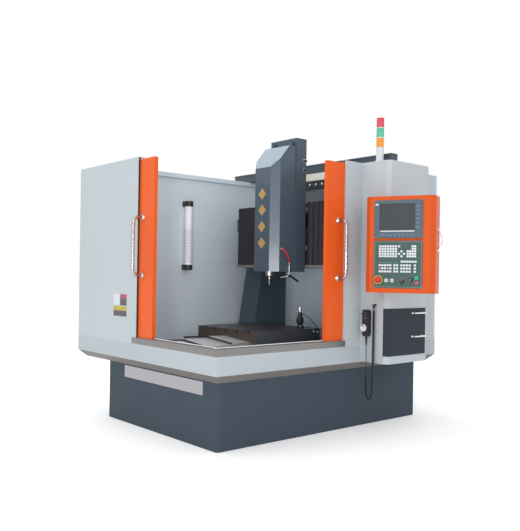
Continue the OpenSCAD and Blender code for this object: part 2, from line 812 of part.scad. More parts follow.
// An axis motor along Z from z = 0, with a bevelled square case and a round end cap
module motor_body() {
    cap_len = 24;
    bevel = 8;
    half = motor_w / 2;
    linear_extrude(motor_len - cap_len)
        polygon([[-half + bevel, -half], [half - bevel, -half], [half, -half + bevel], [half, half - bevel],
            [half - bevel, half], [-half + bevel, half], [-half, half - bevel], [-half, -half + bevel]]);
    translate([0, 0, motor_len - cap_len - eps]) cylinder(r = half - bevel / 2, h = cap_len + eps);
}

module y_motor() {
    color("#23262a") translate([0, y_screw_y1 + bearing_t + seat_gap, y_screw_z]) rotate([-90, 0, 0])
        motor_body();
}

// A column whose front leans forward to its foot
module column(x0) {
    color("#46515a") translate([x0, 0, 0]) rotate([90, 0, 90]) linear_extrude(column_w)
        polygon([[column_foot_y, base_h], [bridge_back, base_h], [bridge_back, bridge_z],
            [column_top_y, bridge_z]]);
}

module left_column() {
    column(-column_x1);
}

module right_column() {
    column(portal_x);
}

// Crossbeam casting with both X rails and the bellows lip below them
module crossbeam() {
    pocket_z = [x_screw_z - screw_pocket / 2, x_screw_z + screw_pocket / 2];
    pocket_y1 = x_screw_y + screw_pocket / 2;
    color("#4a545c") {
        difference() {
            block([-beam_x, beam_x], [beam_front, bridge_back], [bridge_z, beam_top]);
            block([x_screw_x0 - bearing_t - eps, beam_x + eps], [beam_front - eps, pocket_y1], pocket_z);
        }
        difference() {
            for (x = [x_screw_x0 - bearing_t, x_screw_x1])
                block([x, x + bearing_t], [beam_front, pocket_y1 + eps],
                    [pocket_z[0] - eps, pocket_z[1] + eps]);
            bar_x(journal_r + run_gap, [x_screw_x0 - bearing_t - eps, x_screw_x1 + bearing_t + eps],
                x_screw_y, x_screw_z);
        }
        for (z = [low_rail_z, high_rail_z])
            block([-bellows_x, bellows_x], [rail_front, beam_front + eps], [z - rail_w / 2, z + rail_w / 2]);
        block([-bellows_x, bellows_x], [lip_y0, beam_front + eps], [bridge_z, bridge_z + lip_h]);
    }
}

// Cable tray from the left housing to the cabinet, on a stand that carries the X axis cable chain
module cable_tray() {
    tray_gap = 4;
    behind = tower_y + tower_foot_r + tray_gap;
    ahead = tower_y - tower_foot_r - tray_gap - tray_w;
    tray_y0 = behind + tray_w + tray_gap < bridge_back ? behind : ahead;
    tray_y = [tray_y0, tray_y0 + tray_w];
    tray_x = [-tray_left, cab_x0 + 142];
    tray_top = panel_top + tray_h;
    stand_x = [15 - beam_x, beam_x + 55];
    stand_t = 6;
    strip_t = 8;
    strip_h = 56;
    chain_t = 14;
    chain_h = 64;
    color("#3c454d") {
        difference() {
            block(tray_x, tray_y, [panel_top, tray_top]);
            block([tray_x[0] + sheet, tray_x[1] - sheet], [tray_y[0] + sheet, tray_y[1] - sheet],
                [panel_top - eps, tray_top - sheet]);
        }
        block(stand_x, [tray_y0, tray_y0 + stand_t], [beam_top, panel_top + sheet]);
        block(stand_x, [tray_y0 - strip_t, tray_y0 + eps], [panel_top - strip_h, panel_top]);
        block(stand_x, [tray_y0 - chain_t, tray_y0 + eps],
            [panel_top - strip_h - chain_h, panel_top - strip_h]);
    }
}

module x_ballscrew() {
    color("#9aa0a6") translate([x_screw_x0, x_screw_y, x_screw_z]) rotate([0, 90, 0])
        ballscrew(x_screw_x1 - x_screw_x0);
}

module x_motor() {
    color("#23262a") translate([x_screw_x1 + bearing_t + seat_gap, x_screw_y, x_screw_z]) rotate([0, 90, 0])
        motor_body();
}

// Folded bellows cloth between two places along X
module bellows(x0, x1) {
    folds = max(2, round((x1 - x0) / fold_pitch));
    step = (x1 - x0) / folds;
    front = [for (i = [0 : 2 * folds]) [x0 + i * step / 2, i % 2 == 0 ? fold_y1 - fold_t : fold_y0]];
    back = [for (i = [2 * folds : -1 : 0]) [x0 + i * step / 2, i % 2 == 0 ? fold_y1 : fold_y0 + fold_t]];
    color("#1b1b1d") translate([0, 0, bellows_z0]) linear_extrude(bellows_h) polygon(concat(front, back));
}

module bellows_left() {
    bellows(-bellows_x, carriage_x0 - seat_gap);
}

module bellows_right() {
    bellows(carriage_x1 + seat_gap, bellows_x);
}

// Guide block round a rail that runs along X
module x_guide(x, z) {
    half = rail_w / 2 + 7;
    difference() {
        block([x - block_w / 2, x + block_w / 2], [carriage_back - eps, beam_front - 4],
            [z - half, z + half]);
        block([x - block_w, x + block_w], [rail_front - seat_gap, beam_front],
            [z - rail_w / 2 - seat_gap, z + rail_w / 2 + seat_gap]);
    }
}

// Carriage casting that runs along the crossbeam and carries the upright rails
module x_carriage() {
    cavity_x = [spindle_ax - cavity_w / 2, spindle_ax + cavity_w / 2];
    lower_bearing = [z_screw_z0 - bearing_t, z_screw_z0];
    upper_bearing = [z_screw_z1, z_screw_z1 + bearing_t];
    nut_half = screw_r + 18;
    nut_len = 40;
    guide_off = 80;
    color("#36404a") {
        difference() {
            block([carriage_x0, carriage_x1], [carriage_front, carriage_back], [head_z, carriage_z1]);
            block(cavity_x, [carriage_front - eps, carriage_front + cavity_d],
                [head_z - eps, carriage_z1 - sheet]);
        }
        difference() {
            for (z = [lower_bearing, upper_bearing])
                block([cavity_x[0] - eps, cavity_x[1] + eps],
                    [carriage_front, carriage_front + cavity_d + eps], z);
            bar_z(journal_r + run_gap, spindle_ax, z_screw_y,
                [lower_bearing[0] - eps, upper_bearing[1] + eps]);
        }
        for (s = [-1, 1])
            block([spindle_ax + s * z_rail_off - z_rail_w / 2, spindle_ax + s * z_rail_off + z_rail_w / 2],
                [carriage_front - z_rail_h, carriage_front + eps], [head_z + 16, carriage_z1 - 24]);
        for (s = [-1, 1]) {
            x_guide(spindle_ax + s * guide_off, low_rail_z);
            x_guide(spindle_ax + s * guide_off, high_rail_z);
        }
        difference() {
            block([spindle_ax - nut_len, spindle_ax + nut_len], [carriage_back - eps, x_screw_y + nut_half],
                [x_screw_z - nut_half, x_screw_z + nut_half]);
            bar_x(screw_r + seat_gap, [spindle_ax - nut_len - eps, spindle_ax + nut_len + eps], x_screw_y,
                x_screw_z);
        }
    }
}

module z_motor() {
    color("#23262a") translate([spindle_ax, z_screw_y, z_screw_z1 + bearing_t + seat_gap]) motor_body();
}

module z_ballscrew() {
    color("#9aa0a6") translate([spindle_ax, z_screw_y, z_screw_z0]) ballscrew(z_screw_len);
}

// Slide of the head with its guide blocks, its nut and the spindle's clamp
module head_slide() {
    plate_z = [head_z + slide_rise, head_z + slide_rise + slide_h];
    guide_half = z_rail_w / 2 + 11;
    clamp_half = spindle_r + 5;
    clamp_z = [plate_z[0] + 10, plate_z[0] + 10 + clamp_h];
    nut_half = screw_r + 12;
    nut_z = [plate_z[0] + nut_rise, plate_z[0] + nut_rise + nut_h];
    color("#5a636a") {
        block([head_x0 + sheet + seat_gap, head_x1 - sheet - seat_gap], [slide_y0, slide_y1], plate_z);
        difference() {
            block([spindle_ax - clamp_half, spindle_ax + clamp_half],
                [spindle_ay - clamp_half, slide_y0 + eps], clamp_z);
            bar_z(spindle_r + run_gap, spindle_ax, spindle_ay, [clamp_z[0] - eps, clamp_z[1] + eps]);
        }
        for (s = [-1, 1], z = [plate_z[0] + guide_rise, plate_z[0] + guide_rise + guide_pitch]) difference() {
            block([spindle_ax + s * z_rail_off - guide_half, spindle_ax + s * z_rail_off + guide_half],
                [slide_y1 - eps, carriage_front - 3], [z, z + guide_h]);
            block([spindle_ax + s * z_rail_off - z_rail_w / 2 - seat_gap,
                spindle_ax + s * z_rail_off + z_rail_w / 2 + seat_gap],
                [carriage_front - z_rail_h - seat_gap, carriage_front], [z - eps, z + guide_h + eps]);
        }
        difference() {
            block([spindle_ax - nut_half, spindle_ax + nut_half],
                [slide_y1 - eps, z_screw_y + nut_half], nut_z);
            bar_z(screw_r + seat_gap, spindle_ax, z_screw_y, [nut_z[0] - eps, nut_z[1] + eps]);
        }
    }
}

// Plan outline of the head cover, moved in by an inset
module head_outline(inset) {
    turn = inset * tan(22.5);
    polygon([[head_x0 + inset, head_y1], [head_x0 + inset, head_y0 + head_bevel + turn],
        [head_x0 + head_bevel + turn, head_y0 + inset], [head_x1 - head_bevel - turn, head_y0 + inset],
        [head_x1 - inset, head_y0 + head_bevel + turn], [head_x1 - inset, head_y1]]);
}

// Upright outline of the head cover's side, with its sloped top, moved in by an inset
module head_side(inset) {
    slope_y = head_y1 - 60;
    polygon([[head_y0 - eps, head_z + inset], [head_y1 + eps, head_z + inset],
        [head_y1 + eps, head_z + head_back_h - inset], [slope_y, head_z + head_back_h - inset],
        [head_y0 + inset, head_z + head_front_h - inset], [head_y0 - eps, head_z + head_front_h - inset]]);
}

// Sheet-metal head cover, open at the back, with the spindle's hole in its underside
module head_cover() {
    rail_notch = z_rail_w / 2 + lip_gap;
    color("#4b5761") difference() {
        intersection() {
            translate([0, 0, head_z]) linear_extrude(head_back_h) head_outline(0);
            translate([head_x0 - eps, 0, 0]) rotate([90, 0, 90]) linear_extrude(head_w + 2 * eps)
                head_side(0);
        }
        intersection() {
            translate([0, 0, head_z]) linear_extrude(head_back_h) union() {
                head_outline(sheet);
                translate([head_x0 + sheet, head_y1 - eps]) square([head_w - 2 * sheet, 2 * eps]);
            }
            translate([head_x0 - eps, 0, 0]) rotate([90, 0, 90]) linear_extrude(head_w + 2 * eps)
                head_side(sheet);
        }
        bar_z(spindle_r + seat_gap, spindle_ax, spindle_ay, [head_z - eps, head_z + sheet + eps]);
        for (s = [-1, 1])
            block([spindle_ax + s * z_rail_off - rail_notch, spindle_ax + s * z_rail_off + rail_notch],
                [carriage_front - z_rail_h - lip_gap, head_y1 + eps],
                [head_z - eps, head_z + head_back_h + eps]);
    }
}

// Spindle unit, a stepped cartridge bored for its shaft
module spindle_unit() {
    flange_h = 14;
    color("#8d949a") translate([spindle_ax, spindle_ay, head_z]) rotate_extrude()
        polygon([[shaft_r + run_gap, 0], [spindle_r - 8, 0], [spindle_r, 8], [spindle_r, spindle_len - 30],
            [spindle_r - 12, spindle_len - flange_h], [spindle_r - 12, spindle_len],
            [shaft_r + run_gap, spindle_len]]);
}

// Turning nose with its collet nut and the shaft inside the unit
module spindle_nose() {
    nut_h = nose_len * 0.55;
    color("#c2c6ca") translate([spindle_ax, spindle_ay, nose_z]) rotate_extrude()
        polygon([[tool_r + run_gap, 0], [nose_r - 9, 0], [nose_r - 3, 6], [nose_r - 3, nut_h],
            [nose_r, nut_h + 2], [nose_r, nose_len - seat_gap], [shaft_r, nose_len - seat_gap],
            [shaft_r, nose_len + spindle_len - 60], [tool_r + run_gap, nose_len + spindle_len - 60]]);
}

// Milling tool with its shank in the collet and a thinner fluted end
module tool_bit() {
    flute_len = 26;
    shank_in = 30;
    color("#a8adb2") translate([spindle_ax, spindle_ay, tool_z]) rotate_extrude()
        polygon([[0, 0], [tool_r * 0.5, 0], [tool_r * 0.5, flute_len], [tool_r, flute_len + 8],
            [tool_r, tool_len + shank_in], [0, tool_len + shank_in]]);
}

module coolant_hose() {
    color("#d8342f") tube(hose_route, hose_r, 10, [0, 1, 0]);
}

// Coolant fitting clipped to the head's side, with its valve body and nozzle
module coolant_valve() {
    x = valve_at[0];
    y = valve_at[1];
    z = valve_at[2];
    hose_end = hose_route[len(hose_route) - 1][2];
    fitting_r = 8;
    nut_z = [hose_end - 46, hose_end - 34];
    nozzle_len = 58;
    nozzle_r = 5;
    nozzle_dip = 99;
    color("#b08d4c") {
        difference() {
            union() {
                bar_z(fitting_r, x, y, [z, hose_end - fitting_r]);
                bar_z(hose_r, x, y, [z, hose_end - seat_gap]);
                bar_z(fitting_r + 2, x, y, nut_z);
                bar_x(valve_half, [head_x1 + 2, x + valve_half], y, z);
                block([head_x1, x], [y - fitting_r, y + fitting_r], [z + 36, z + 72]);
            }
            bar_x(lever_stem_r + run_gap, [x, x + valve_half + eps], y, z);
        }
        translate([x, y, z]) rotate([0, 0, 45]) rotate([0, -nozzle_dip, 0]) translate([0, 0, lever_stem_r])
            rotate_extrude()
                polygon([[0, 0], [nozzle_r + 2, 0], [nozzle_r + 2, 18], [nozzle_r, 22],
                    [nozzle_r - 2, nozzle_len], [0, nozzle_len]]);
    }
}

// Valve lever, turning on its stem
module coolant_lever() {
    lever_len = 84;
    lever_w = 15;
    lever_t = 5;
    lever_drop = 26;
    color("#24285c") translate([valve_at[0] + valve_half + seat_gap, valve_at[1], valve_at[2]]) {
        bar_x(lever_stem_r, [1 - valve_half, eps], 0, 0);
        rotate([-lever_drop, 0, 0]) {
            bar_x(lever_w / 2 + 2, [0, lever_t], 0, 0);
            block([0, lever_t], [0, lever_len], [-lever_w / 2, lever_w / 2]);
            bar_x(lever_w / 2, [0, lever_t], lever_len, 0);
        }
    }
}

// T-slot table with its side walls, its guide blocks and the nut of its screw
module table() {
    nut_half = screw_r + 14;
    nut_y = [-30, 60];
    guide_len = 110;
    wall_z = table_z0 - table_wall_h;
    arch_x = top_cover_x + lip_gap;
    clip_at = setter_route[len(setter_route) - 1];
    color("#6a6660") {
        difference() {
            block([-table_x, table_x], [table_y0, table_y1], [table_z0, table_top]);
            for (i = [0 : slot_count - 1]) {
                x = (i - (slot_count - 1) / 2) * slot_pitch;
                block([x - slot_w / 2, x + slot_w / 2], [table_y0 - eps, table_y1 + eps],
                    [table_top - slot_mouth - eps, table_top + eps]);
                block([x - slot_head_w / 2, x + slot_head_w / 2], [table_y0 - eps, table_y1 + eps],
                    [table_top - slot_mouth - slot_head_h, table_top - slot_mouth]);
            }
        }
        for (x = [-table_x, table_x - table_wall_t])
            block([x, x + table_wall_t], [table_y0, table_y1], [wall_z, table_z0 + eps]);
        along_y([table_y0, table_y0 + table_wall_t])
            polygon([[-table_x, wall_z], [-arch_x, wall_z], [-arch_x, top_z - cover_fall + seat_gap],
                [0, top_z + seat_gap], [arch_x, top_z - cover_fall + seat_gap], [arch_x, wall_z],
                [table_x, wall_z], [table_x, table_z0 + eps], [-table_x, table_z0 + eps]]);
        for (s = [-1, 1], y = [block_y0, table_y1 - guide_len - 20]) difference() {
            block([s * y_rail_gap / 2 - block_w / 2, s * y_rail_gap / 2 + block_w / 2], [y, y + guide_len],
                [bed_top + 6, table_z0 + eps]);
            block([s * y_rail_gap / 2 - rail_w / 2 - seat_gap, s * y_rail_gap / 2 + rail_w / 2 + seat_gap],
                [y - eps, y + guide_len + eps], [bed_top, bed_top + y_rail_h + seat_gap]);
        }
        block([table_x - eps, clip_at[0] - lead_r - seat_gap], [clip_at[1] - 8, clip_at[1] + 8],
            [clip_at[2] - 6, clip_at[2] + 14]);
        difference() {
            block([-nut_half, nut_half], nut_y, [y_screw_z - nut_half, table_z0 + eps]);
            bar_y(screw_r + seat_gap, 0, [nut_y[0] - eps, nut_y[1] + eps], y_screw_z);
        }
    }
}

// Tool setter on the table, a turned body on a three-lobed foot
module tool_setter() {
    foot_h = 12;
    foot_r = 24;
    lobe_r = 11;
    lobe_at = 26;
    bore_depth = 30;
    neck_top = setter_h - plunger_h;
    color("#1f2124") translate([setter_x, setter_y, table_top]) difference() {
        union() {
            for (a = [90, 210, 330]) rotate([0, 0, a]) {
                translate([lobe_at, 0, 0]) cylinder(r = lobe_r, h = foot_h);
                translate([0, -lobe_r, 0]) cube([lobe_at, 2 * lobe_r, foot_h]);
            }
            rotate_extrude()
                polygon([[0, 0], [foot_r, 0], [foot_r, foot_h], [neck_r + 5, 2 * foot_h],
                    [setter_r, 0.42 * neck_top], [setter_r, 0.58 * neck_top], [neck_r + 4, 0.74 * neck_top],
                    [neck_r, 0.79 * neck_top], [neck_r, neck_top], [0, neck_top]]);
        }
        bar_z(plunger_r / 2 + run_gap, 0, 0, [neck_top - bore_depth, setter_h]);
    }
}

// Sprung contact on top of the tool setter
module setter_plunger() {
    lift = 5;
    stem = 18;
    color("#c9ccd0") translate([setter_x, setter_y, table_top + setter_h - plunger_h]) {
        translate([0, 0, -stem]) cylinder(r = plunger_r / 2, h = stem + lift + eps);
        translate([0, 0, lift + seat_gap]) cylinder(r = plunger_r, h = plunger_h - lift - seat_gap);
    }
}

module setter_lead() {
    color("#1b1c1e") tube(setter_route, lead_r, 8, [0, 1, 0]);
}

// Band of a roof-shaped front plate in X and Z, from its top down by a thickness
module roof(half, z, t) {
    polygon([[-half, z - cover_fall], [0, z], [half, z - cover_fall], [half, z - cover_fall - t], [0, z - t],
        [-half, z - cover_fall - t]]);
}

// Outline under a roof-shaped plate in X and Z, down to a floor
module roof_house(half, z, low) {
    polygon([[-half, low], [-half, z - cover_fall], [0, z], [half, z - cover_fall], [half, low]]);
}

// Lowest front plate, folded down to the tray at its front and sides
module front_cover_fixed() {
    y = [fixed_y0, fixed_y0 + cover_len];
    color("#b3b6b9") difference() {
        along_y(y) roof_house(cover_x, fixed_z, floor_z);
        along_y([y[0] + sheet, y[1] + eps]) roof_house(cover_x - sheet, fixed_z - sheet, floor_z - eps);
    }
}

// A sliding front plate that hangs over the one below it
module sliding_cover(y0, z, order) {
    half = cover_x + order * (sheet + lip_gap);
    edge_z = z - cover_fall;
    side_drop = 8;
    color("#bdc0c3") {
        along_y([y0, y0 + cover_len]) roof(half, z, sheet);
        along_y([y0, y0 + sheet]) roof(half, z, cover_step - seat_gap);
        for (x = [-half, half - sheet])
            block([x, x + sheet], [y0, y0 + cover_len], [edge_z - cover_step - side_drop, edge_z]);
    }
}

module front_cover_mid() {
    sliding_cover(mid_y0, mid_z, 1);
}

// Plate on the table's front, hung from the table's underside by a bracket
module front_cover_table() {
    hang_x = top_cover_x - 40;
    hang_z = top_z - cover_fall * hang_x / top_cover_x - sheet / 2;
    sliding_cover(top_y0, top_z, 2);
    color("#bdc0c3") along_y([table_y0 + 30, table_y0 + 60])
        polygon([[-hang_x, table_z0], [-hang_x, hang_z], [0, top_z - sheet / 2], [hang_x, hang_z],
            [hang_x, table_z0]]);
}

// A door plate in its own plane, x along the door and y through it, with window and track groove
module door_plate(w, stile_w) {
    groove = track_w + 2 * track_gap;
    window_x = [door_frame_w, w - stile_w - door_frame_w];
    difference() {
        block([0, w], [0, door_t], [door_z0, door_z1]);
        block([sheet, w - stile_w - door_frame_w / 2], [sheet, door_t + eps],
            [door_z0 + 3 * track_h, door_z1 - 2 * track_h]);
        block([window_x[0], window_x[1]], [-eps, door_t + eps], [window_z0, window_z1]);
        block([-eps, w + eps], [door_t / 2 - groove / 2, door_t / 2 + groove / 2],
            [door_z0 - eps, door_z0 + track_h + track_gap]);
    }
}

// The pane behind a door's window
module door_pane(w, stile_w) {
    block([door_frame_w - glass_lip, w - stile_w - door_frame_w + glass_lip], [sheet, sheet + glass_t],
        [window_z0 - glass_lip, window_z1 + glass_lip]);
}

// A quarter bend of the handle's tube, from an angle in the upright plane through the handle
module handle_bend(z, from) {
    translate([0, handle_bend_r - handle_standoff, z]) rotate([0, 90, 0]) rotate([0, 0, from])
        rotate_extrude(angle = 90) translate([handle_bend_r, 0]) circle(r = handle_r);
}

// A bent tube handle with a rosette at each end, from the door's face at y = 0 outwards along -y
module bar_handle() {
    rosette_r = 2 * handle_r;
    rosette_h = 14;
    color("#d6d8da") {
        bar_z(handle_r, 0, -handle_standoff, [handle_bend_r, handle_span - handle_bend_r]);
        handle_bend(handle_bend_r, -90);
        handle_bend(handle_span - handle_bend_r, -180);
        for (z = [0, handle_span]) {
            bar_y(handle_r, 0, [handle_bend_r - handle_standoff, -rosette_h / 2], z);
            translate([0, 0, z]) rotate([90, 0, 0]) rotate_extrude()
                polygon([[0, 0], [rosette_r, 0], [rosette_r, 4], [handle_r + 3, rosette_h], [0, rosette_h]]);
        }
    }
}

module left_door() {
    color("#f2602a") translate([left_door_x0, left_door_y0, 0]) door_plate(left_door_w, left_stile_w);
}

module left_window() {
    color("#cfe4ea", 0.4) translate([left_door_x0, left_door_y0, 0]) door_pane(left_door_w, left_stile_w);
}

module left_handle() {
    translate([handle_x, left_door_y0, handle_z0]) bar_handle();
}

// Turns a door's own plane into the right-hand side's plane
module on_right_side() {
    translate([right_door_x1, right_door_y1, 0]) mirror([0, 1, 0]) rotate([0, 0, 90]) children();
}

module right_door() {
    color("#f2602a") on_right_side() door_plate(right_door_w, right_stile_w);
}

module right_window() {
    color("#cfe4ea", 0.4) on_right_side() door_pane(right_door_w, right_stile_w);
}

module right_handle() {
    translate([right_door_x1, handle_y, handle_z0]) rotate([0, 0, 90]) bar_handle();
}

// The turned frame of the control box
module box_frame() {
    translate([pivot_x, pivot_y, 0]) rotate([0, 0, box_yaw]) children();
}

// Control box with its swivel barrel and side handle
module control_box() {
    web_x = 66;
    grip_z = box_z0 + grip_rise;
    grip_out = 34;
    grip_r = 5;
    grip_bow = 89;
    grip_turn = 112;
    grip_y = box_back - 70;
    color("#f2602a") box_frame() {
        difference() {
            translate([0, 0, box_z0]) linear_extrude(box_h)
                polygon([[box_x0, box_back], [box_x0, box_front + box_bevel], [box_x0 + box_bevel, box_front],
                    [box_x1 - box_bevel, box_front], [box_x1, box_front + box_bevel], [box_x1, box_back]]);
            block([module_x0 - seat_gap, module_x1 + seat_gap], [box_front - eps, box_front + module_recess],
                [keypad_z0 - seat_gap, display_z1 + seat_gap]);
        }
        difference() {
            union() {
                bar_z(barrel_r, 0, 0, [swivel_z0, swivel_z1]);
                block([-barrel_r / 2, web_x], [box_back - eps, -barrel_r / 2],
                    [swivel_z0 + barrel_r, swivel_z1 - barrel_r]);
            }
            bar_z(swivel_r + run_gap, 0, 0, [swivel_z0 - eps, swivel_z1 + eps]);
        }
        translate([box_x1 + grip_out - grip_bow, grip_y, grip_z]) rotate([90, 0, 0])
            rotate([0, 0, -grip_turn / 2]) rotate_extrude(angle = grip_turn) translate([grip_bow, 0])
                circle(r = grip_r);
    }
}

// Display module with the screen's recess and a column of soft keys
module display_module() {
    key = [16, 12];
    key_h = 2.5;
    soft_keys = 8;
    soft_pitch = screen_w / soft_keys;
    soft_z = display_z0 + 14;
    side_keys = 6;
    side_x = module_x1 - 40;
    side_z = display_z1 - 50;
    side_pitch = 26;
    color("#5d7f8c") box_frame() {
        difference() {
            block([module_x0, module_x1], [module_y0, box_front + module_recess], [display_z0, display_z1]);
            block([screen_x0, screen_x0 + screen_w], [module_y0 - eps, module_y0 + 6],
                [screen_z1 - screen_h, screen_z1]);
        }
        for (i = [0 : soft_keys - 1])
            block([screen_x0 + i * soft_pitch + 6, screen_x0 + i * soft_pitch + 6 + key[0]],
                [module_y0 - key_h, module_y0 + eps], [soft_z, soft_z + key[1]]);
        for (i = [0 : side_keys - 1])
            block([side_x, side_x + key[0]], [module_y0 - key_h, module_y0 + eps],
                [side_z - i * side_pitch, side_z - i * side_pitch + key[1]]);
    }
}

// Screen pane in the display module
module screen_glass() {
    color("#30363a") box_frame()
        block([screen_x0 + seat_gap, screen_x0 + screen_w - seat_gap], [module_y0 + 1.5, module_y0 + 6],
            [screen_z1 - screen_h + seat_gap, screen_z1 - seat_gap]);
}

// Key module with its key blocks, lamps, switches and the bores of the two operating elements
module key_grid(at, count, pitch, key, h) {
    for (i = [0 : count[0] - 1], j = [0 : count[1] - 1])
        translate([module_x0 + (at[0] + i * pitch[0]) * key_u, module_y0, keypad_z1 - at[1] - j * pitch[1]])
            block([0, key[0] * key_u], [-h, eps], [-key[1], 0]);
}

module keypad() {
    key = [15, 12];
    key_h = 2.5;
    collar_r = 28;
    color("#2f4f4a") box_frame() difference() {
        union() {
            block([module_x0, module_x1], [module_y0, box_front + module_recess], [keypad_z0, keypad_z1]);
            for (b = key_blocks) key_grid(b[0], b[1], b[2], key, key_h);
            key_grid(square_at, [1, 2], [0, square_pitch], [square_w, square_w], 2 * key_h);
            bar_y(collar_r, module_x0 + estop_at[0], [module_y0 - collar_h, module_y0 + eps],
                keypad_z1 - estop_at[1]);
            for (at = [start_at, hold_at, key_switch_at])
                bar_y(lamp_button_r, module_x0 + at[0], [module_y0 - lamp_button_h, module_y0 + eps],
                    keypad_z1 - at[1]);
        }
        bar_y(estop_stem_r + run_gap, module_x0 + estop_at[0],
            [module_y0 - collar_h - eps, module_y0 + module_t + eps], keypad_z1 - estop_at[1]);
        bar_y(override_stem_r + run_gap, module_x0 + override_at[0],
            [module_y0 - eps, module_y0 + module_t + eps], keypad_z1 - override_at[1]);
    }
}

// Emergency-stop mushroom on its stem
module estop_button() {
    travel = 6;
    stem_end = travel + 2 - module_t;
    face = collar_h + travel + seat_gap;
    color("#c8201f") box_frame()
        translate([module_x0 + estop_at[0], module_y0, keypad_z1 - estop_at[1]]) rotate([90, 0, 0])
            rotate_extrude()
                polygon([[0, stem_end], [estop_stem_r, stem_end], [estop_stem_r, face], [20, face],
                    [21, face + 4], [19, face + 12], [12, face + 16], [0, face + 17]]);
}

// Override knob with its pointer ridge
module override_knob() {
    color("#17181a") box_frame()
        translate([module_x0 + override_at[0], module_y0, keypad_z1 - override_at[1]]) rotate([90, 0, 0]) {
            rotate_extrude()
                polygon([[0, -module_t + 2], [override_stem_r, -module_t + 2], [override_stem_r, seat_gap],
                    [16, seat_gap], [16, 6], [13, 8], [12, 20], [0, 21]]);
            translate([-2, 2, 8]) cube([4, 13, 12]);
        }
}

// A drawer with its front round the cabinet's bevel, its open box and a bar pull
module drawer(i) {
    z0 = drawer_z0 + i * drawer_pitch;
    box_z = shelf_z(i) + seat_gap;
    box_x1 = cab_x1 + seat_gap + drawer_t / 2;
    face_x = cab_x1 + seat_gap + drawer_t;
    pull_z = z0 + drawer_h - 34;
    pull_y = [drawer_y1 - 40 - pull_len, drawer_y1 - 40];
    color("#4a545d") {
        translate([0, 0, z0]) linear_extrude(drawer_h) intersection() {
            difference() {
                cabinet_outline(-seat_gap - drawer_t);
                cabinet_outline(-seat_gap);
            }
            translate([cab_x1 - cab_bevel - drawer_gap, cab_y0 - cab_bevel])
                square([2 * cab_bevel, drawer_y1 - cab_y0 + cab_bevel]);
        }
        difference() {
            block([drawer_box_x0, box_x1], [drawer_box_y0, drawer_box_y1], [box_z, box_z + drawer_box_h]);
            block([drawer_box_x0 + drawer_wall, cab_x1 - drawer_wall],
                [drawer_box_y0 + drawer_wall, drawer_box_y1 - drawer_wall],
                [box_z + drawer_wall, box_z + drawer_box_h + eps]);
        }
        for (y = pull_y) bar_x(pull_r - 1, [face_x - eps, face_x + pull_out], y, pull_z);
        bar_y(pull_r, face_x + pull_out, [pull_y[0] - 2 * pull_r, pull_y[1] + 2 * pull_r], pull_z);
    }
}

module upper_drawer() {
    drawer(1);
}

module lower_drawer() {
    drawer(0);
}

// Signal tower
module tower_base() {
    foot_h = 10;
    color("#eceef0") translate([tower_x, tower_y, panel_top]) rotate_extrude()
        polygon([[0, 0], [tower_foot_r, 0], [tower_foot_r, foot_h / 2], [tower_r + 4, foot_h],
            [tower_r, 3 * foot_h], [tower_r, tower_base_h], [0, tower_base_h]]);
}

// Three lamps on top of each other, amber, green and red
module tower_lenses() {
    ring_h = 3;
    lamp_top = tower_lamp_h + ring_h - seat_gap;
    colors = ["#f0a02c", "#3fae7c", "#d8344f"];
    for (i = [0 : 2]) color(colors[i]) translate([tower_x, tower_y, tower_z + i * (tower_lamp_h + ring_h)])
        rotate_extrude()
            polygon([[0, 0], [tower_r - 2, 0], [tower_r - 2, ring_h], [tower_r, ring_h + 1],
                [tower_r, tower_lamp_h], [tower_r - 2, lamp_top], [0, lamp_top]]);
}

// Hand pendant with two selector knobs and its strain relief
module pendant_body() {
    bevel = 10;
    half = pendant_w / 2;
    knob_r = 10;
    knob_h = 14;
    knob_pitch = 26;
    color("#1d1e20") difference() {
        union() {
            translate([pendant_x, cab_y0, 0]) rotate([90, 0, 0]) linear_extrude(pendant_d)
                polygon([[-half, pendant_z0 + 2 * bevel], [-half + bevel, pendant_z0],
                    [half - bevel, pendant_z0], [half, pendant_z0 + 2 * bevel], [half, pendant_z1 - bevel],
                    [half - bevel, pendant_z1], [-half + bevel, pendant_z1], [-half, pendant_z1 - bevel]]);
            for (s = [-1, 1])
                bar_y(knob_r, pendant_x + s * knob_pitch / 2, [pendant_y0 - knob_h, pendant_y0 + eps],
                    pendant_z1 - 28);
            translate([lead_route[0][0], lead_route[0][1], pendant_z0 - relief_len]) rotate_extrude()
                polygon([[0, 0], [lead_r + 2, 0], [lead_r + 4, relief_len + eps], [0, relief_len + eps]]);
        }
        bar_y(dial_stem_r + run_gap, dial_at[0], [pendant_y0 - eps, pendant_y0 + 20], dial_at[1]);
    }
}

// Hand dial of the pendant with its crank knob
module pendant_dial() {
    color("#c4c7ca") translate([dial_at[0], pendant_y0, dial_at[1]]) rotate([90, 0, 0]) {
        rotate_extrude()
            polygon([[0, -18], [dial_stem_r, -18], [dial_stem_r, seat_gap], [dial_r, seat_gap], [dial_r, 6],
                [dial_r - 3, 9], [dial_r - 9, 9], [dial_r - 11, 7], [0, 7]]);
        translate([0, dial_r - 9, 6]) cylinder(r = 4, h = 14);
    }
}

// Cord gland on the cabinet's front
module pendant_gland() {
    r = curl_r + 2;
    gland_z1 = gland_at[2] + 34;
    color("#e8eaec") {
        bar_z(r, gland_at[0], gland_at[1], [gland_at[2], gland_z1]);
        block([gland_at[0] - r, gland_at[0] + r], [gland_at[1], cab_y0], [gland_at[2] + 10, gland_z1]);
    }
}

module pendant_lead() {
    color("#1b1c1e") tube(lead_route, lead_r, 8, [0, 1, 0]);
}

module pendant_curl() {
    color("#1b1c1e") tube(curl_route, curl_r, 10, [0, 1, 0]);
}

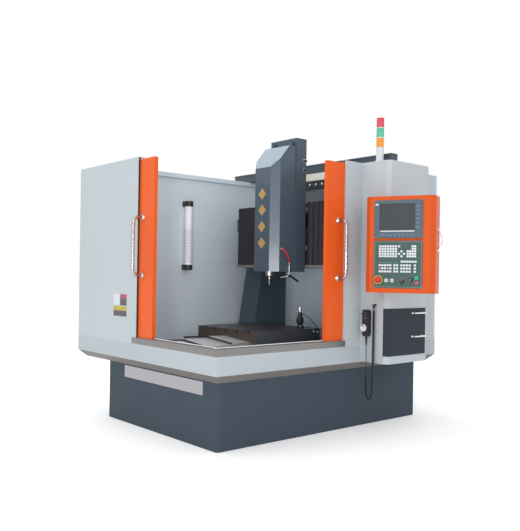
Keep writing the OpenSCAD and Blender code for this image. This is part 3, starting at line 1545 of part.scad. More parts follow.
machine_base();
lower_tub();
rim_trim();
left_housing();
front_panel();
rear_panel();
right_panel();
control_cabinet();
work_light_housing();
work_light_lens();
y_bed();
y_ballscrew();
y_motor();
left_column();
right_column();
crossbeam();
cable_tray();
x_ballscrew();
x_motor();
bellows_left();
bellows_right();
x_carriage();
z_motor();
z_ballscrew();
head_slide();
head_cover();
spindle_unit();
spindle_nose();
tool_bit();
coolant_hose();
coolant_valve();
coolant_lever();
table();
tool_setter();
setter_plunger();
setter_lead();
front_cover_fixed();
front_cover_mid();
front_cover_table();
left_door();
left_window();
left_handle();
right_door();
right_window();
right_handle();
control_box();
display_module();
screen_glass();
keypad();
estop_button();
override_knob();
upper_drawer();
lower_drawer();
tower_base();
tower_lenses();
pendant_body();
pendant_dial();
pendant_gland();
pendant_lead();
pendant_curl();
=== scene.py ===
"""Looks of the bridge type milling center: camera, light, materials, cords and fine parts round the frame."""
import json
import math

import bmesh
import bpy
from mathutils import Matrix, Vector


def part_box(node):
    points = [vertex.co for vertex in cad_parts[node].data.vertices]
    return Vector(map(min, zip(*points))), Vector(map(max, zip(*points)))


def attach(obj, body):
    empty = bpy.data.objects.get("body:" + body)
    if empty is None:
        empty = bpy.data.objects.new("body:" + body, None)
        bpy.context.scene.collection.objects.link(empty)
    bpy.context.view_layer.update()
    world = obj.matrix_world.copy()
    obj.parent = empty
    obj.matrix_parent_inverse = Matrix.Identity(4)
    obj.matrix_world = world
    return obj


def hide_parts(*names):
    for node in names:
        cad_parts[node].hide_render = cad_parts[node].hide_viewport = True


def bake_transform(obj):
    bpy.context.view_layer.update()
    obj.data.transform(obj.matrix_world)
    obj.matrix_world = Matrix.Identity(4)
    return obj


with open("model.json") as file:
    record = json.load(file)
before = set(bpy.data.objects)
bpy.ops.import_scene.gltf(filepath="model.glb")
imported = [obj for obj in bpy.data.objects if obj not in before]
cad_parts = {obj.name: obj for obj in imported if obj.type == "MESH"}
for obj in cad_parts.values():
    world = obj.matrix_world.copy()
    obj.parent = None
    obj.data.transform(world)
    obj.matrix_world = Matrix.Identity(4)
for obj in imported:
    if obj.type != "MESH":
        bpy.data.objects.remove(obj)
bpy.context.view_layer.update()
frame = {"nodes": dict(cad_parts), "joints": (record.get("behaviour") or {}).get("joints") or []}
NODES = frame["nodes"]
JOINTS = {j["name"]: j for j in frame["joints"]}
MM = 0.001
WHITE = (1.0, 1.0, 1.0)

# The photograph's frame and the camera that was fitted to it
IMAGE_W = 520
IMAGE_H = 531
FOCAL_PX = 693
CENTRE_PX = (260.0, 273.3)
CAMERA_AT = Vector((3.8933, -3.4164, 1.060))
CAMERA_HEADING = Vector((-0.7581, 0.6521, 0.0))
CAMERA_ROLL_DEG = 0.9
SENSOR = 36.0

# The world's colour from left to right, the lamps (place, target, size, power, colour) and the floor
WORLD_RAMP = ((0.35, WHITE), (0.85, (0.68, 0.695, 0.72)))
LAMPS = (
    ("key", (-1.6, -5.2, 4.2), (0, -0.5, 0.9), (3.0, 2.4), 25, WHITE),
    ("overhead", (-2.6, 0.4, 4.6), (0.1, -0.1, 1.6), (2.6, 2.6), 60, (0.74, 0.88, 1.0)),
    ("fill", (4.6, -2.2, 2.7), (-0.69, -0.1, 1.0), (2.2, 1.8), 36, WHITE),
    ("front_strip", (4.3, -4.8, 1.0), (0.16, -0.15, 1.1), (0.8, 0.7), 62, WHITE),
)
FLOOR_SIZE = 60
FLOOR_DROP = 0.5 * MM
FLOOR_LIFT = 0.25

# The control box's own frame: x along its front, y into it, z up
SWIVEL_AT = Vector(JOINTS["box_swivel"]["pos_m"])
FACE_OUT = Vector(JOINTS["override_turn"]["axis"])
PANEL_YAW = math.atan2(FACE_OUT.x, -FACE_OUT.y)
PANEL = Matrix.Translation((SWIVEL_AT.x, SWIVEL_AT.y, 0)) @ Matrix.Rotation(PANEL_YAW, 4, "Z")


# Places


def mm(x, y, z):
    """A point given in millimetres."""
    return Vector((x, y, z)) * MM


def millimetres(point):
    return [c / MM for c in point]


def shift(x, y, z):
    """A move given in millimetres."""
    return Matrix.Translation(mm(x, y, z))


def spin(degrees, axis="Z"):
    return Matrix.Rotation(math.radians(degrees), 4, axis)


def facing(at, out, forward="Z"):
    """A place whose z axis, or the axis named, points along out."""
    return Matrix.Translation(at) @ Vector(out).to_track_quat(forward, "Y").to_matrix().to_4x4()


def new_object(name, data):
    obj = bpy.data.objects.new(name, data)
    bpy.context.scene.collection.objects.link(obj)
    return obj


# Camera, light and floor


def make_camera():
    data = bpy.data.cameras.new("camera")
    data.sensor_fit = "HORIZONTAL"
    data.sensor_width = SENSOR
    data.lens = SENSOR * FOCAL_PX / IMAGE_W
    data.shift_x = (IMAGE_W / 2 - CENTRE_PX[0]) / IMAGE_W
    data.shift_y = (CENTRE_PX[1] - IMAGE_H / 2) / IMAGE_W
    data.clip_end = 100
    camera = new_object("camera", data)
    camera.matrix_world = facing(CAMERA_AT, CAMERA_HEADING, "-Z") @ spin(CAMERA_ROLL_DEG)
    bpy.context.scene.camera = camera
    bpy.context.scene.view_settings.view_transform = "Standard"


def area_light(name, at, target, size, power, colour):
    data = bpy.data.lights.new(name, "AREA")
    data.shape = "RECTANGLE"
    data.size, data.size_y = size
    data.energy = power
    data.color = colour
    new_object(name, data).matrix_world = facing(at, Vector(target) - Vector(at), "-Z")


def seen_rays(tree):
    """One for what the camera sees, straight or by gloss or through glass."""
    path = tree.nodes.new("ShaderNodeLightPath")
    seen = path.outputs["Is Camera Ray"]
    for kind in ("Is Glossy Ray", "Is Transmission Ray"):
        seen = combined(tree, "MAXIMUM", seen, path.outputs[kind])
    return seen


def make_world():
    """A pale studio all round, a little dimmer on the machine's right, seen white by camera and gloss."""
    world = bpy.data.worlds.new("studio")
    bpy.context.scene.world = world
    world.use_nodes = True
    tree = world.node_tree
    coords = tree.nodes.new("ShaderNodeTexCoord")
    split = add(tree, "SeparateXYZ", {0: coords.outputs["Generated"]})
    reach = add(tree, "MapRange", {"Value": split.outputs["X"], "From Min": -1.0})
    ramp = add(tree, "ValToRGB", {"Fac": reach.outputs["Result"]})
    for element, (position, colour) in zip(ramp.color_ramp.elements, WORLD_RAMP):
        element.position = position
        element.color = (*colour, 1)
    colour = blend_colours(tree, seen_rays(tree), ramp.outputs["Color"], WHITE)
    feed(tree.nodes["Background"], {"Color": colour, "Strength": 1.0})


def make_studio():
    make_world()
    for lamp in LAMPS:
        area_light(*lamp)
    bpy.ops.mesh.primitive_plane_add(size=FLOOR_SIZE, location=(0, 0, -FLOOR_DROP))
    floor = bpy.context.object
    floor.name = "floor"
    floor.data.materials.append(MATERIALS["floor"])


# Materials: each function below makes one by name, puts it in the list and gives its surface node

MATERIALS = {}


def shader(name):
    mat = bpy.data.materials.new(name)
    mat.use_nodes = True
    MATERIALS[name] = mat
    return mat.node_tree, mat.node_tree.nodes["Principled BSDF"]


def feed(node, inputs):
    """Sets inputs of a node, each to a value or to what comes out of another node."""
    for key, value in inputs.items():
        if isinstance(value, bpy.types.NodeSocket):
            node.id_data.links.new(value, node.inputs[key])
        else:
            node.inputs[key].default_value = value


def add(tree, kind, inputs, **settings):
    node = tree.nodes.new("ShaderNode" + kind)
    for key, value in settings.items():
        setattr(node, key, value)
    feed(node, inputs)
    return node


def combined(tree, operation, a, b):
    """Two values or sockets put together by a Math node."""
    return add(tree, "Math", {0: a, 1: b}, operation=operation).outputs["Value"]


def placed(tree, scale=(1, 1, 1), turn=Matrix()):
    """Object coordinates in metres, stretched by a scale on each axis or turned into another frame."""
    coords = tree.nodes.new("ShaderNodeTexCoord")
    mapping = add(tree, "Mapping", {"Vector": coords.outputs["Object"], "Scale": scale,
                                    "Location": turn.to_translation(), "Rotation": turn.to_euler()})
    return mapping.outputs["Vector"]


def noise(tree, scale, detail=2.0, stretch=(1, 1, 1)):
    tex = add(tree, "TexNoise", {"Scale": scale, "Detail": detail, "Vector": placed(tree, stretch)})
    return tex.outputs["Fac"]


def blend_colours(tree, fac, a, b):
    """A mix of two colours, or colour sockets, by a factor socket."""
    ends = {key: (*end, 1) if isinstance(end, tuple) else end for key, end in ((6, a), (7, b))}
    return add(tree, "Mix", {"Factor": fac, **ends}, data_type="RGBA").outputs[2]


def shaded(colour, share):
    return tuple(min(1.0, c * share) for c in colour)


def ranged(tree, value, low, high):
    """The middle of a noise's values, spread over a range."""
    reach = add(tree, "MapRange", {"Value": value, "From Min": 0.3, "From Max": 0.7, "To Min": low,
                                   "To Max": high})
    return reach.outputs["Result"]


def bumped(bsdf, height, strength, depth):
    bump = add(bsdf.id_data, "Bump", {"Height": height, "Strength": strength, "Distance": depth})
    feed(bsdf, {"Normal": bump.outputs["Normal"]})


def between(tree, axis, low, high, source="place"):
    """One where a coordinate lies between two limits. It is one of the surface's place, in the part's frame
    or the control box's, or of its normal."""
    if source == "normal":
        vector = tree.nodes.new("ShaderNodeNewGeometry").outputs["Normal"]
    else:
        vector = placed(tree, turn=PANEL.inverted() if source == "panel" else Matrix())
    value = add(tree, "SeparateXYZ", {0: vector}).outputs[axis]
    above = combined(tree, "GREATER_THAN", value, low)
    return combined(tree, "MULTIPLY", above, combined(tree, "LESS_THAN", value, high))


def mottled(tree, colour, scale, share):
    return blend_colours(tree, noise(tree, scale), shaded(colour, 1 - share), shaded(colour, 1 + share))


def paint(name, colour, rough, peel=0.12, coat=0.0, spread=0.025, gloss=0.5):
    """Sprayed or powder coated sheet metal: a fine orange peel, uneven gloss and faint clouds."""
    tree, bsdf = shader(name)
    dull = ranged(tree, noise(tree, 9, 3), rough - 0.03, rough + 0.03)
    feed(bsdf, {"Base Color": mottled(tree, colour, 2.2, spread), "Roughness": dull,
                "Specular IOR Level": gloss, "Coat Weight": coat, "Coat Roughness": 0.12})
    bumped(bsdf, noise(tree, 520, 1), peel, 0.4 * MM)
    return bsdf


def metal(name, colour, rough, stretch=(1, 1, 1), lines=0.1):
    """Bare metal whose grain runs along the axis with the smallest stretch."""
    tree, bsdf = shader(name)
    streaks = noise(tree, 260, 3, stretch)
    feed(bsdf, {"Base Color": blend_colours(tree, streaks, shaded(colour, 0.86), shaded(colour, 1.08)),
                "Metallic": 1.0, "Roughness": ranged(tree, streaks, rough - 0.07, rough + 0.09)})
    bumped(bsdf, streaks, lines, 0.1 * MM)
    return bsdf


def plastic(name, colour, rough, grain=900, depth=0.12):
    """Moulded plastic or rubber with a fine eroded grain."""
    tree, bsdf = shader(name)
    fine = noise(tree, grain, 2)
    feed(bsdf, {"Base Color": mottled(tree, colour, 14, 0.03),
                "Roughness": ranged(tree, fine, rough - 0.06, rough + 0.06)})
    bumped(bsdf, fine, depth, 0.2 * MM)
    return bsdf


def clear(name, colour, rough, weight):
    """Glass or tinted clear plastic with faint smears in its gloss."""
    tree, bsdf = shader(name)
    feed(bsdf, {"Base Color": mottled(tree, colour, 6, 0.03), "Transmission Weight": weight, "IOR": 1.47,
                "Roughness": ranged(tree, noise(tree, 11, 3), rough, rough + 0.06)})
    return bsdf


def glowing(name, colour, strength):
    """A lit or lamp-like plastic: its colour with a little light of its own."""
    tree, bsdf = shader(name)
    tone = mottled(tree, colour, 30, 0.05)
    feed(bsdf, {"Base Color": tone, "Emission Color": tone, "Emission Strength": strength,
                "Roughness": ranged(tree, noise(tree, 40), 0.2, 0.3)})
    return bsdf


def cloth(name, colour):
    """Coated bellows cloth: a fine weave under a dull sheen."""
    tree, bsdf = shader(name)
    threads = (noise(tree, 60, 1, (1, 1, 14)), noise(tree, 60, 1, (14, 14, 1)))
    feed(bsdf, {"Base Color": mottled(tree, colour, 8, 0.16), "Roughness": 0.5, "Specular IOR Level": 0.2,
                "Sheen Weight": 0.05})
    bumped(bsdf, combined(tree, "MULTIPLY", *threads), 0.35, 0.5 * MM)
    return bsdf


def table_iron(name, colour, side_colour, front_colour):
    """Machined cast iron: feed lines and oily clouds on top, dark paint on the sides, a bare brown front."""
    tree, bsdf = shader(name)
    clouds = noise(tree, 5, 4)
    top = blend_colours(tree, clouds, shaded(colour, 0.7), shaded(colour, 1.25))
    forward = between(tree, "Y", -1.1, -0.9, "normal")
    sides = blend_colours(tree, forward, side_colour, front_colour)
    up = between(tree, "Z", 0.9, 1.1, "normal")
    feed(bsdf, {"Base Color": blend_colours(tree, up, sides, top), "Metallic": 0.35,
                "Roughness": ranged(tree, clouds, 0.28, 0.5)})
    bumped(bsdf, noise(tree, 420, 2, (1, 0.02, 1)), 0.15, 0.1 * MM)
    return bsdf


def threaded(name, colour, axis, pitch):
    """Ground steel with a screw thread as fine rings along one axis."""
    tree, bsdf = shader(name)
    feed(bsdf, {"Base Color": mottled(tree, colour, 60, 0.1), "Metallic": 1.0, "Roughness": 0.25})
    wave = add(tree, "TexWave", {"Scale": 0.314 / pitch, "Vector": placed(tree)}, bands_direction=axis)
    bumped(bsdf, wave.outputs["Fac"], 0.9, 2 * MM)
    return bsdf


def lift_to_white(bsdf):
    """Lets the camera see the floor as white as the studio, with the object's shadow on it."""
    lift = combined(bsdf.id_data, "MULTIPLY", seen_rays(bsdf.id_data), FLOOR_LIFT)
    feed(bsdf, {"Emission Color": (*WHITE, 1), "Emission Strength": lift})


def zoned(bsdf, colour, axis, low, high, source="place"):
    """Gives a material another colour, or colour socket, where one coordinate lies between two limits."""
    tree = bsdf.id_data
    body = bsdf.inputs["Base Color"].links[0].from_socket
    zone = between(tree, axis, low, high, source)
    feed(bsdf, {"Base Color": blend_colours(tree, zone, body, colour)})


def outside(bsdf, colour):
    """Puts the housing's outer faces, left, behind and on top, in the panels' colour."""
    for axis, low, high in (("X", -1.1, -0.5), ("Y", 0.5, 1.1), ("Z", 0.5, 1.1)):
        zoned(bsdf, colour, axis, low, high, "normal")


def tray_zones(bsdf, strip_colour, chain_colour, plate_colour):
    """The cream strip and the dark chain band below the painted tray, and the plain plate behind them."""
    tree = bsdf.id_data
    band = blend_colours(tree, between(tree, "Z", STRIP_LOW, FAR), chain_colour, strip_colour)
    lower = blend_colours(tree, between(tree, "Y", -FAR, STAND_FRONT), plate_colour, band)
    zoned(bsdf, lower, "Z", -FAR, TRAY_LOW)


# Limits of the colours' zones in the imported solids: a place past all of them, the beam's face, the tray's
# strips, the control box's left side in its own frame, where the coolant valve's nozzle begins, and the upper
# half of the sill's tracks, where a bright highlight is painted on
FAR = 3.0
BEAM_FRONT = 159.5 * MM
TRAY_LOW = 1836 * MM
STRIP_LOW = 1780 * MM
STAND_FRONT = 384.2 * MM
BOX_LEFT = 27.9 * MM
NOZZLE_X = 283 * MM
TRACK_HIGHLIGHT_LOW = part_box("rim_trim")[1].z - 5 * MM

SLATE = (0.076, 0.116, 0.154)
PANEL_GREY = (0.5, 0.55, 0.575)
TUB_GREY = (0.455, 0.502, 0.53)
SCREW_STEEL = (0.55, 0.56, 0.57)
SCREW_PITCH = 10 * MM


def make_materials():
    lift_to_white(paint("floor", (0.93, 0.93, 0.93), 0.7, peel=0.02, spread=0.005))
    paint("panel", PANEL_GREY, 0.46, gloss=0.25)
    # The enclosure's inner faces in a lighter, bluer copy of the panels' grey: painted light that brightens the
    # shaded inside
    outside(paint("inner_painted_light", (0.72, 0.81, 0.87), 0.36), PANEL_GREY)
    paint("inner_line", (0.58, 0.64, 0.69), 0.4)
    tub = paint("tub", TUB_GREY, 0.46, gloss=0.25)
    zoned(tub, (0.195, 0.183, 0.172), "Z", -0.9, -0.4, "normal")
    paint("base", (0.058, 0.077, 0.099), 0.45, gloss=0.06)
    paint("cast", shaded(SLATE, 0.9), 0.42, peel=0.2, gloss=0.3)
    paint("slate", shaded(SLATE, 0.84), 0.36, coat=0.1, gloss=0.35)
    paint("head", shaded(SLATE, 0.9), 0.3, peel=0.01, coat=0.12, spread=0.012)
    paint("drawer", (0.024, 0.033, 0.046), 0.36, gloss=0.15)
    tray = paint("tray", shaded(SLATE, 0.66), 0.4)
    tray_zones(tray, (1.0, 0.96, 0.84), (0.02, 0.02, 0.022), (0.15, 0.165, 0.19))
    paint("orange", (0.8, 0.115, 0.016), 0.36, peel=0.04, coat=0.02, gloss=0.2)
    # The control box in a darker copy of the doors' orange: painted shade that evens out the stronger light it gets
    box_orange = paint("box_orange", (0.66, 0.09, 0.013), 0.36, peel=0.04, coat=0.02, gloss=0.2)
    zoned(box_orange, PANEL_GREY, "X", -FAR, BOX_LEFT, "panel")
    zoned(paint("beam", shaded(SLATE, 0.8), 0.4, peel=0.3), (0.2, 0.205, 0.21), "Y", -FAR, BEAM_FRONT)
    paint("motor", (0.025, 0.026, 0.029), 0.45, peel=0.25)
    paint("plate_dark", (0.08, 0.075, 0.08), 0.4)
    paint("plate_red", (0.4, 0.07, 0.1), 0.4)
    paint("plate_ochre", (0.5, 0.38, 0.05), 0.4)
    stainless = metal("stainless", (0.265, 0.256, 0.25), 0.38, (0.03, 1, 1))
    # Painted highlight: the top of the sill's tracks in a pale stainless colour
    zoned(stainless, (0.85, 0.84, 0.83), "Z", TRACK_HIGHLIGHT_LOW, FAR)
    metal("plate", (0.75, 0.735, 0.73), 0.42, (1, 0.03, 1))
    metal("name_plate", (0.43, 0.42, 0.44), 0.45, (0.03, 1, 1))
    metal("steel", (0.6, 0.61, 0.62), 0.26, (1, 1, 0.05))
    metal("polished", (0.5, 0.48, 0.46), 0.16, (1, 1, 0.05), lines=0.04)
    metal("bright", (0.82, 0.82, 0.83), 0.2)
    zoned(metal("valve", (0.3, 0.29, 0.28), 0.3), (0.5, 0.37, 0.18), "X", -FAR, NOZZLE_X)
    metal("bolt", (0.7, 0.7, 0.7), 0.3)
    table_iron("table", (0.058, 0.055, 0.057), (0.085, 0.1, 0.12), (0.1, 0.084, 0.072))
    for axis in "XYZ":
        threaded("thread_" + axis.lower(), SCREW_STEEL, axis, SCREW_PITCH)
    cloth("bellows", (0.025, 0.0235, 0.0285))
    plastic("black", (0.02, 0.02, 0.022), 0.42)
    plastic("rubber", (0.022, 0.021, 0.021), 0.55, grain=1400)
    plastic("white", (0.66, 0.69, 0.74), 0.35)
    plastic("display", (0.07, 0.116, 0.142), 0.4, grain=1600)
    plastic("display_dark", (0.03, 0.04, 0.045), 0.4, grain=1600)
    plastic("keypad", (0.04, 0.09, 0.08), 0.45, grain=1600)
    plastic("key_pale", (0.72, 0.74, 0.77), 0.4)
    plastic("key_red", (0.55, 0.3, 0.3), 0.4)
    plastic("soft_key", (0.14, 0.19, 0.3), 0.4)
    plastic("line", (0.3, 0.42, 0.38), 0.45)
    plastic("knob", (0.035, 0.036, 0.04), 0.4)
    plastic("dial_white", (0.8, 0.8, 0.79), 0.25)
    plastic("rib", (0.6, 0.61, 0.66), 0.35)
    plastic("yellow", (0.82, 0.5, 0.03), 0.35)
    plastic("mark", (0.5, 0.32, 0.1), 0.4)
    plastic("red", (0.6, 0.02, 0.015), 0.22, depth=0.04)
    plastic("hose", (0.6, 0.03, 0.025), 0.3)
    plastic("green", (0.03, 0.42, 0.2), 0.28)
    plastic("pale_green", (0.38, 0.55, 0.48), 0.25)
    plastic("pink", (0.58, 0.32, 0.34), 0.25)
    plastic("magenta", (0.55, 0.06, 0.12), 0.28)
    plastic("blue", (0.02, 0.022, 0.12), 0.35)
    clear("screen", (0.05, 0.055, 0.06), 0.1, 0.0)
    clear("window", (0.82, 0.9, 0.93), 0.02, 0.95)
    glowing("lens_white", (0.9, 0.92, 0.98), 0.1)
    glowing("lamp_red", (0.62, 0.055, 0.1), 0.06)
    glowing("lamp_green", (0.095, 0.46, 0.3), 0.06)
    glowing("lamp_amber", (0.82, 0.28, 0.025), 0.06)


NODE_MATERIALS = {
    "machine_base": "base", "lower_tub": "tub", "rim_trim": "stainless", "left_housing": "inner_painted_light",
    "front_panel": "panel", "rear_panel": "inner_painted_light", "right_panel": "panel", "control_cabinet": "panel",
    "work_light_housing": "black", "work_light_lens": "lens_white", "y_bed": "cast",
    "y_ballscrew": "thread_y", "y_motor": "motor", "left_column": "cast", "right_column": "cast", "crossbeam": "beam",
    "cable_tray": "tray", "x_ballscrew": "thread_x", "x_motor": "motor", "bellows_left": "bellows",
    "bellows_right": "bellows", "x_carriage": "slate", "z_motor": "motor", "z_ballscrew": "thread_z",
    "head_slide": "cast", "head_cover": "head", "spindle_unit": "steel", "spindle_nose": "steel",
    "tool_bit": "polished", "coolant_hose": "hose", "coolant_valve": "valve", "coolant_lever": "blue",
    "table": "table", "tool_setter": "black", "setter_plunger": "bright", "setter_lead": "rubber",
    "front_cover_fixed": "plate", "front_cover_mid": "plate", "front_cover_table": "plate",
    "left_door": "orange", "left_window": "window", "left_handle": "polished", "right_door": "orange",
    "right_window": "window", "right_handle": "polished", "control_box": "box_orange",
    "display_module": "display", "screen_glass": "screen", "keypad": "keypad", "estop_button": "red",
    "override_knob": "black", "upper_drawer": "drawer", "lower_drawer": "drawer", "tower_base": "white",
    "tower_lenses": "lamp_amber", "pendant_body": "black", "pendant_dial": "dial_white",
    "pendant_gland": "black", "pendant_lead": "rubber", "pendant_curl": "rubber",
}


def dress_nodes():
    for node, name in NODE_MATERIALS.items():
        data = NODES[node].data
        data.materials.clear()
        data.materials.append(MATERIALS[name])


# Mesh helpers, all in millimetres apart from places

# The radius at which a turned form closes on its axis
TIP = 0.01


def rounded_box(bm, low, high, bevel, slot=0, place=Matrix()):
    """A box between two corners with rounded edges, added to a mesh under construction."""
    low = Vector(low) * MM
    high = Vector(high) * MM
    fit = Matrix.Translation((low + high) / 2) @ Matrix.Diagonal((*(high - low), 1))
    verts = bmesh.ops.create_cube(bm, size=1, matrix=fit)["verts"]
    edges = list({e for v in verts for e in v.link_edges})
    made = bmesh.ops.bevel(bm, geom=edges, offset=bevel * MM, segments=2, profile=0.7, affect="EDGES")
    verts = list({v for f in made["faces"] for v in f.verts} | {v for v in verts if v.is_valid})
    for face in {f for v in verts for f in v.link_faces}:
        face.material_index = slot
    bmesh.ops.transform(bm, matrix=place, verts=verts)


def turned(bm, profile, place, slot=0, segments=40, flutes=0, flute_depth=0.0, closed=False):
    """A turned form: (radius, height) points about a place's z axis, fluted or closed to a ring if asked."""
    rings = []
    for radius, height in profile:
        ring = []
        for i in range(segments):
            angle = 2 * math.pi * i / segments
            cut = flute_depth * (0.5 - 0.5 * math.cos(flutes * angle)) if radius > flute_depth else 0
            r = (radius - cut) * MM
            ring.append(bm.verts.new(place @ Vector((r * math.cos(angle), r * math.sin(angle), height * MM))))
        rings.append(ring)
    for a, b in zip(rings, rings[1:] + rings[:1] if closed else rings[1:]):
        for i in range(segments):
            face = bm.faces.new((a[i], a[(i + 1) % segments], b[(i + 1) % segments], b[i]))
            face.material_index = slot
            face.smooth = True
    for ring in () if closed else (rings[0][::-1], rings[-1]):
        bm.faces.new(ring).material_index = slot


def mesh_of(name, bm, *materials):
    mesh = bpy.data.meshes.new(name)
    bmesh.ops.recalc_face_normals(bm, faces=bm.faces)
    bm.to_mesh(mesh)
    bm.free()
    for mat in materials:
        mesh.materials.append(MATERIALS[mat])
    return mesh


def finish_piece(name, bm, body, *materials):
    """A mesh under construction made a piece that rides on a body."""
    obj = new_object(name, mesh_of(name, bm, *materials))
    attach(obj, body)
    return obj


def blocks_piece(name, body, boxes, bevel, *materials):
    """One piece of several rounded boxes, each (low, high) or (low, high, material number)."""
    bm = bmesh.new()
    for low, high, *slot in boxes:
        rounded_box(bm, low, high, bevel, *slot)
    finish_piece(name, bm, body, *materials)


def screw_heads(name, places, out, radius, body):
    """Small socket screws, all facing one way."""
    profile = [(radius, 0), (radius, radius * 0.7), (radius * 0.85, radius), (radius * 0.45, radius),
               (radius * 0.42, radius * 0.4), (0.001, radius * 0.4)]
    bm = bmesh.new()
    for at in places:
        turned(bm, profile, facing(at, out), segments=16)
    finish_piece(name, bm, body, "bolt")


def rect_frame(low, high, width, flat):
    """The four strips round a rectangle that is flat along one axis, as boxes."""
    boxes = []
    for other in [axis for axis in range(3) if axis != flat]:
        for at_top in (False, True):
            a = list(low)
            b = list(high)
            if at_top:
                a[other] = high[other] - width
            else:
                b[other] = low[other] + width
            boxes.append((a, b))
    return boxes


def layer(low, high, flat, above, depth, inset=0):
    """The corners of a layer that lies above or below a box along one axis, inset from its other sides."""
    a = [c + inset for c in low]
    b = [c - inset for c in high]
    a[flat], b[flat] = (high[flat], high[flat] + depth) if above else (low[flat] - depth, low[flat])
    return a, b


def round_bar(name, points, radius, body, mat):
    """A smooth tube along points, as a curve, in metres."""
    data = bpy.data.curves.new(name, "CURVE")
    data.dimensions = "3D"
    data.bevel_depth = radius
    data.bevel_resolution = 3
    data.use_fill_caps = True
    spline = data.splines.new("POLY")
    spline.points.add(len(points) - 1)
    for place, point in zip(spline.points, points):
        place.co = (*point, 1)
    data.materials.append(MATERIALS[mat])
    obj = new_object(name, data)
    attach(obj, body)
    return obj


# Cords


def smooth_route(route, steps):
    """Points along a Catmull-Rom curve through a route given in millimetres, in metres."""
    points = [Vector(p) * MM for p in route]
    padded = [2 * points[0] - points[1], *points, 2 * points[-1] - points[-2]]
    out = []
    for i in range(len(points) - 1):
        a, b, c, d = padded[i:i + 4]
        for k in range(steps):
            t = k / steps
            out.append(0.5 * (2 * b + (c - a) * t + (2 * a - 5 * b + 4 * c - d) * t * t
                              + (3 * b - a - 3 * c + d) * t * t * t))
    return out + [points[-1]]


def route_length(points):
    return sum((b - a).length for a, b in zip(points, points[1:]))


LEAD_ROUTE = [(778, 230, 612), (778, 230, 594), (778, 230, 576), (778, 230, 558), (779, 230, 540),
              (779, 230, 522), (780, 229, 504), (780, 229, 486), (781, 229, 468), (782, 229, 450),
              (782, 228, 432), (783, 228, 414), (783, 228, 392)]
CURL_ROUTE = [(783, 228, 392), (783, 228, 350), (783, 228, 310), (784, 228, 280), (787, 228, 255),
              (792, 228, 236), (801, 228, 221), (812, 228, 216), (823, 228, 221), (832, 228, 236),
              (837, 228, 255), (840, 228, 280), (841, 228, 310), (841, 228, 350), (841, 229, 400),
              (841, 230, 450), (841, 231, 500), (840, 231, 550), (840, 232, 600), (840, 232, 650),
              (840, 232, 700), (840, 232, 750), (840, 232, 800), (840, 232, 835)]
SETTER_ROUTE = [(247.5, 127, 764), (256, 129, 765), (266, 134, 763), (277, 142, 757), (288, 151, 748),
                (299, 161, 737), (309, 171, 724), (318, 181, 709), (326, 190, 694), (333, 197, 680),
                (338, 202, 666), (340, 205, 652), (340, 206, 640), (340, 206, 630)]
HOSE_ROUTE = [(290.5, -125, 1235), (299, -125, 1235), (307, -121, 1231), (312, -112, 1222),
              (314, -100, 1209), (314, -88, 1194), (312, -76, 1177), (308, -65, 1160), (304, -58, 1147),
              (302, -55, 1137), (302, -55, 1128)]
WIRE_R = 2.5 * MM
CURL_OUTER_R = 9.5 * MM
CURL_PITCH = 7.0 * MM
CURL_STEPS = 14
CURL_RUN_IN = 20 * MM


def curl_points():
    """The curly cord: turns wound round its route, drawn in to the route's line at both ends."""
    line = smooth_route(CURL_ROUTE, 12)
    total = route_length(line)
    steps = round(total / CURL_PITCH * CURL_STEPS)
    points = []
    walked = 0.0
    index = 0
    angle = 0.0
    side = Vector((0, 1, 0))
    for i in range(1, steps):
        along = total * i / steps
        while index < len(line) - 2 and walked + (line[index + 1] - line[index]).length < along:
            walked += (line[index + 1] - line[index]).length
            index += 1
        heading = (line[index + 1] - line[index]).normalized()
        across = heading.cross(side).normalized()
        up = across.cross(heading)
        ease = min(1.0, along / CURL_RUN_IN, (total - along) / CURL_RUN_IN)
        radius = (CURL_OUTER_R - WIRE_R) * math.sin(ease * math.pi / 2)
        angle += ease * 2 * math.pi * total / steps / CURL_PITCH
        centre = line[index] + heading * (along - walked)
        points.append(centre + radius * (math.cos(angle) * across + math.sin(angle) * up))
    return points + [line[-1]]


def make_cords():
    lead = smooth_route(LEAD_ROUTE, 3)
    points = lead + curl_points()
    cord = round_bar("pendant_cord", points, WIRE_R, "machine", "rubber")
    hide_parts("pendant_lead", "pendant_curl")
    setter = smooth_route(SETTER_ROUTE, 4)
    lead_r = 3 * MM
    cord = round_bar("setter_cord", setter, lead_r, "table", "rubber")
    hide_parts("setter_lead")
    hose = smooth_route(HOSE_ROUTE, 4)
    hose_r = 6 * MM
    cord = round_bar("coolant_tube", hose, hose_r, "head", "hose")
    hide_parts("coolant_hose")


# Bellows

CLOTH_T = 2 * MM
# Where a fold's valley and the two edges of its flat crest lie along it
FOLD = ((0.0, True), (0.36, False), (0.64, False))


def bellows_strip(name, node, fixed_x, moving_x, folds, strips):
    """Folded cloth in strips."""
    low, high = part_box(node)
    step = (moving_x - fixed_x) / folds
    per_strip = folds // strips
    for s in range(strips):
        bm = bmesh.new()
        front = []
        back = []
        for i in range(3 * per_strip + 1):
            fold = per_strip * s + i // 3
            share, valley = FOLD[i % 3]
            x = fixed_x + (fold + share) * step
            y = high.y - CLOTH_T if valley else low.y
            front.append([bm.verts.new((x, y, z)) for z in (low.z, high.z)])
            back.append([bm.verts.new((x, y + CLOTH_T, z)) for z in (low.z, high.z)])
        for a, b in zip(front, front[1:]):
            bm.faces.new((a[0], b[0], b[1], a[1]))
        for a, b in zip(back, back[1:]):
            bm.faces.new((a[0], a[1], b[1], b[0]))
        for a, b, c, d in zip(front, front[1:], back, back[1:]):
            bm.faces.new((a[0], c[0], d[0], b[0]))
            bm.faces.new((a[1], b[1], d[1], c[1]))
        piece_name = "%s_%d" % (name, s)
        obj = new_object(piece_name, mesh_of(piece_name, bm, "bellows"))
        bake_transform(obj)
    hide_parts(node)


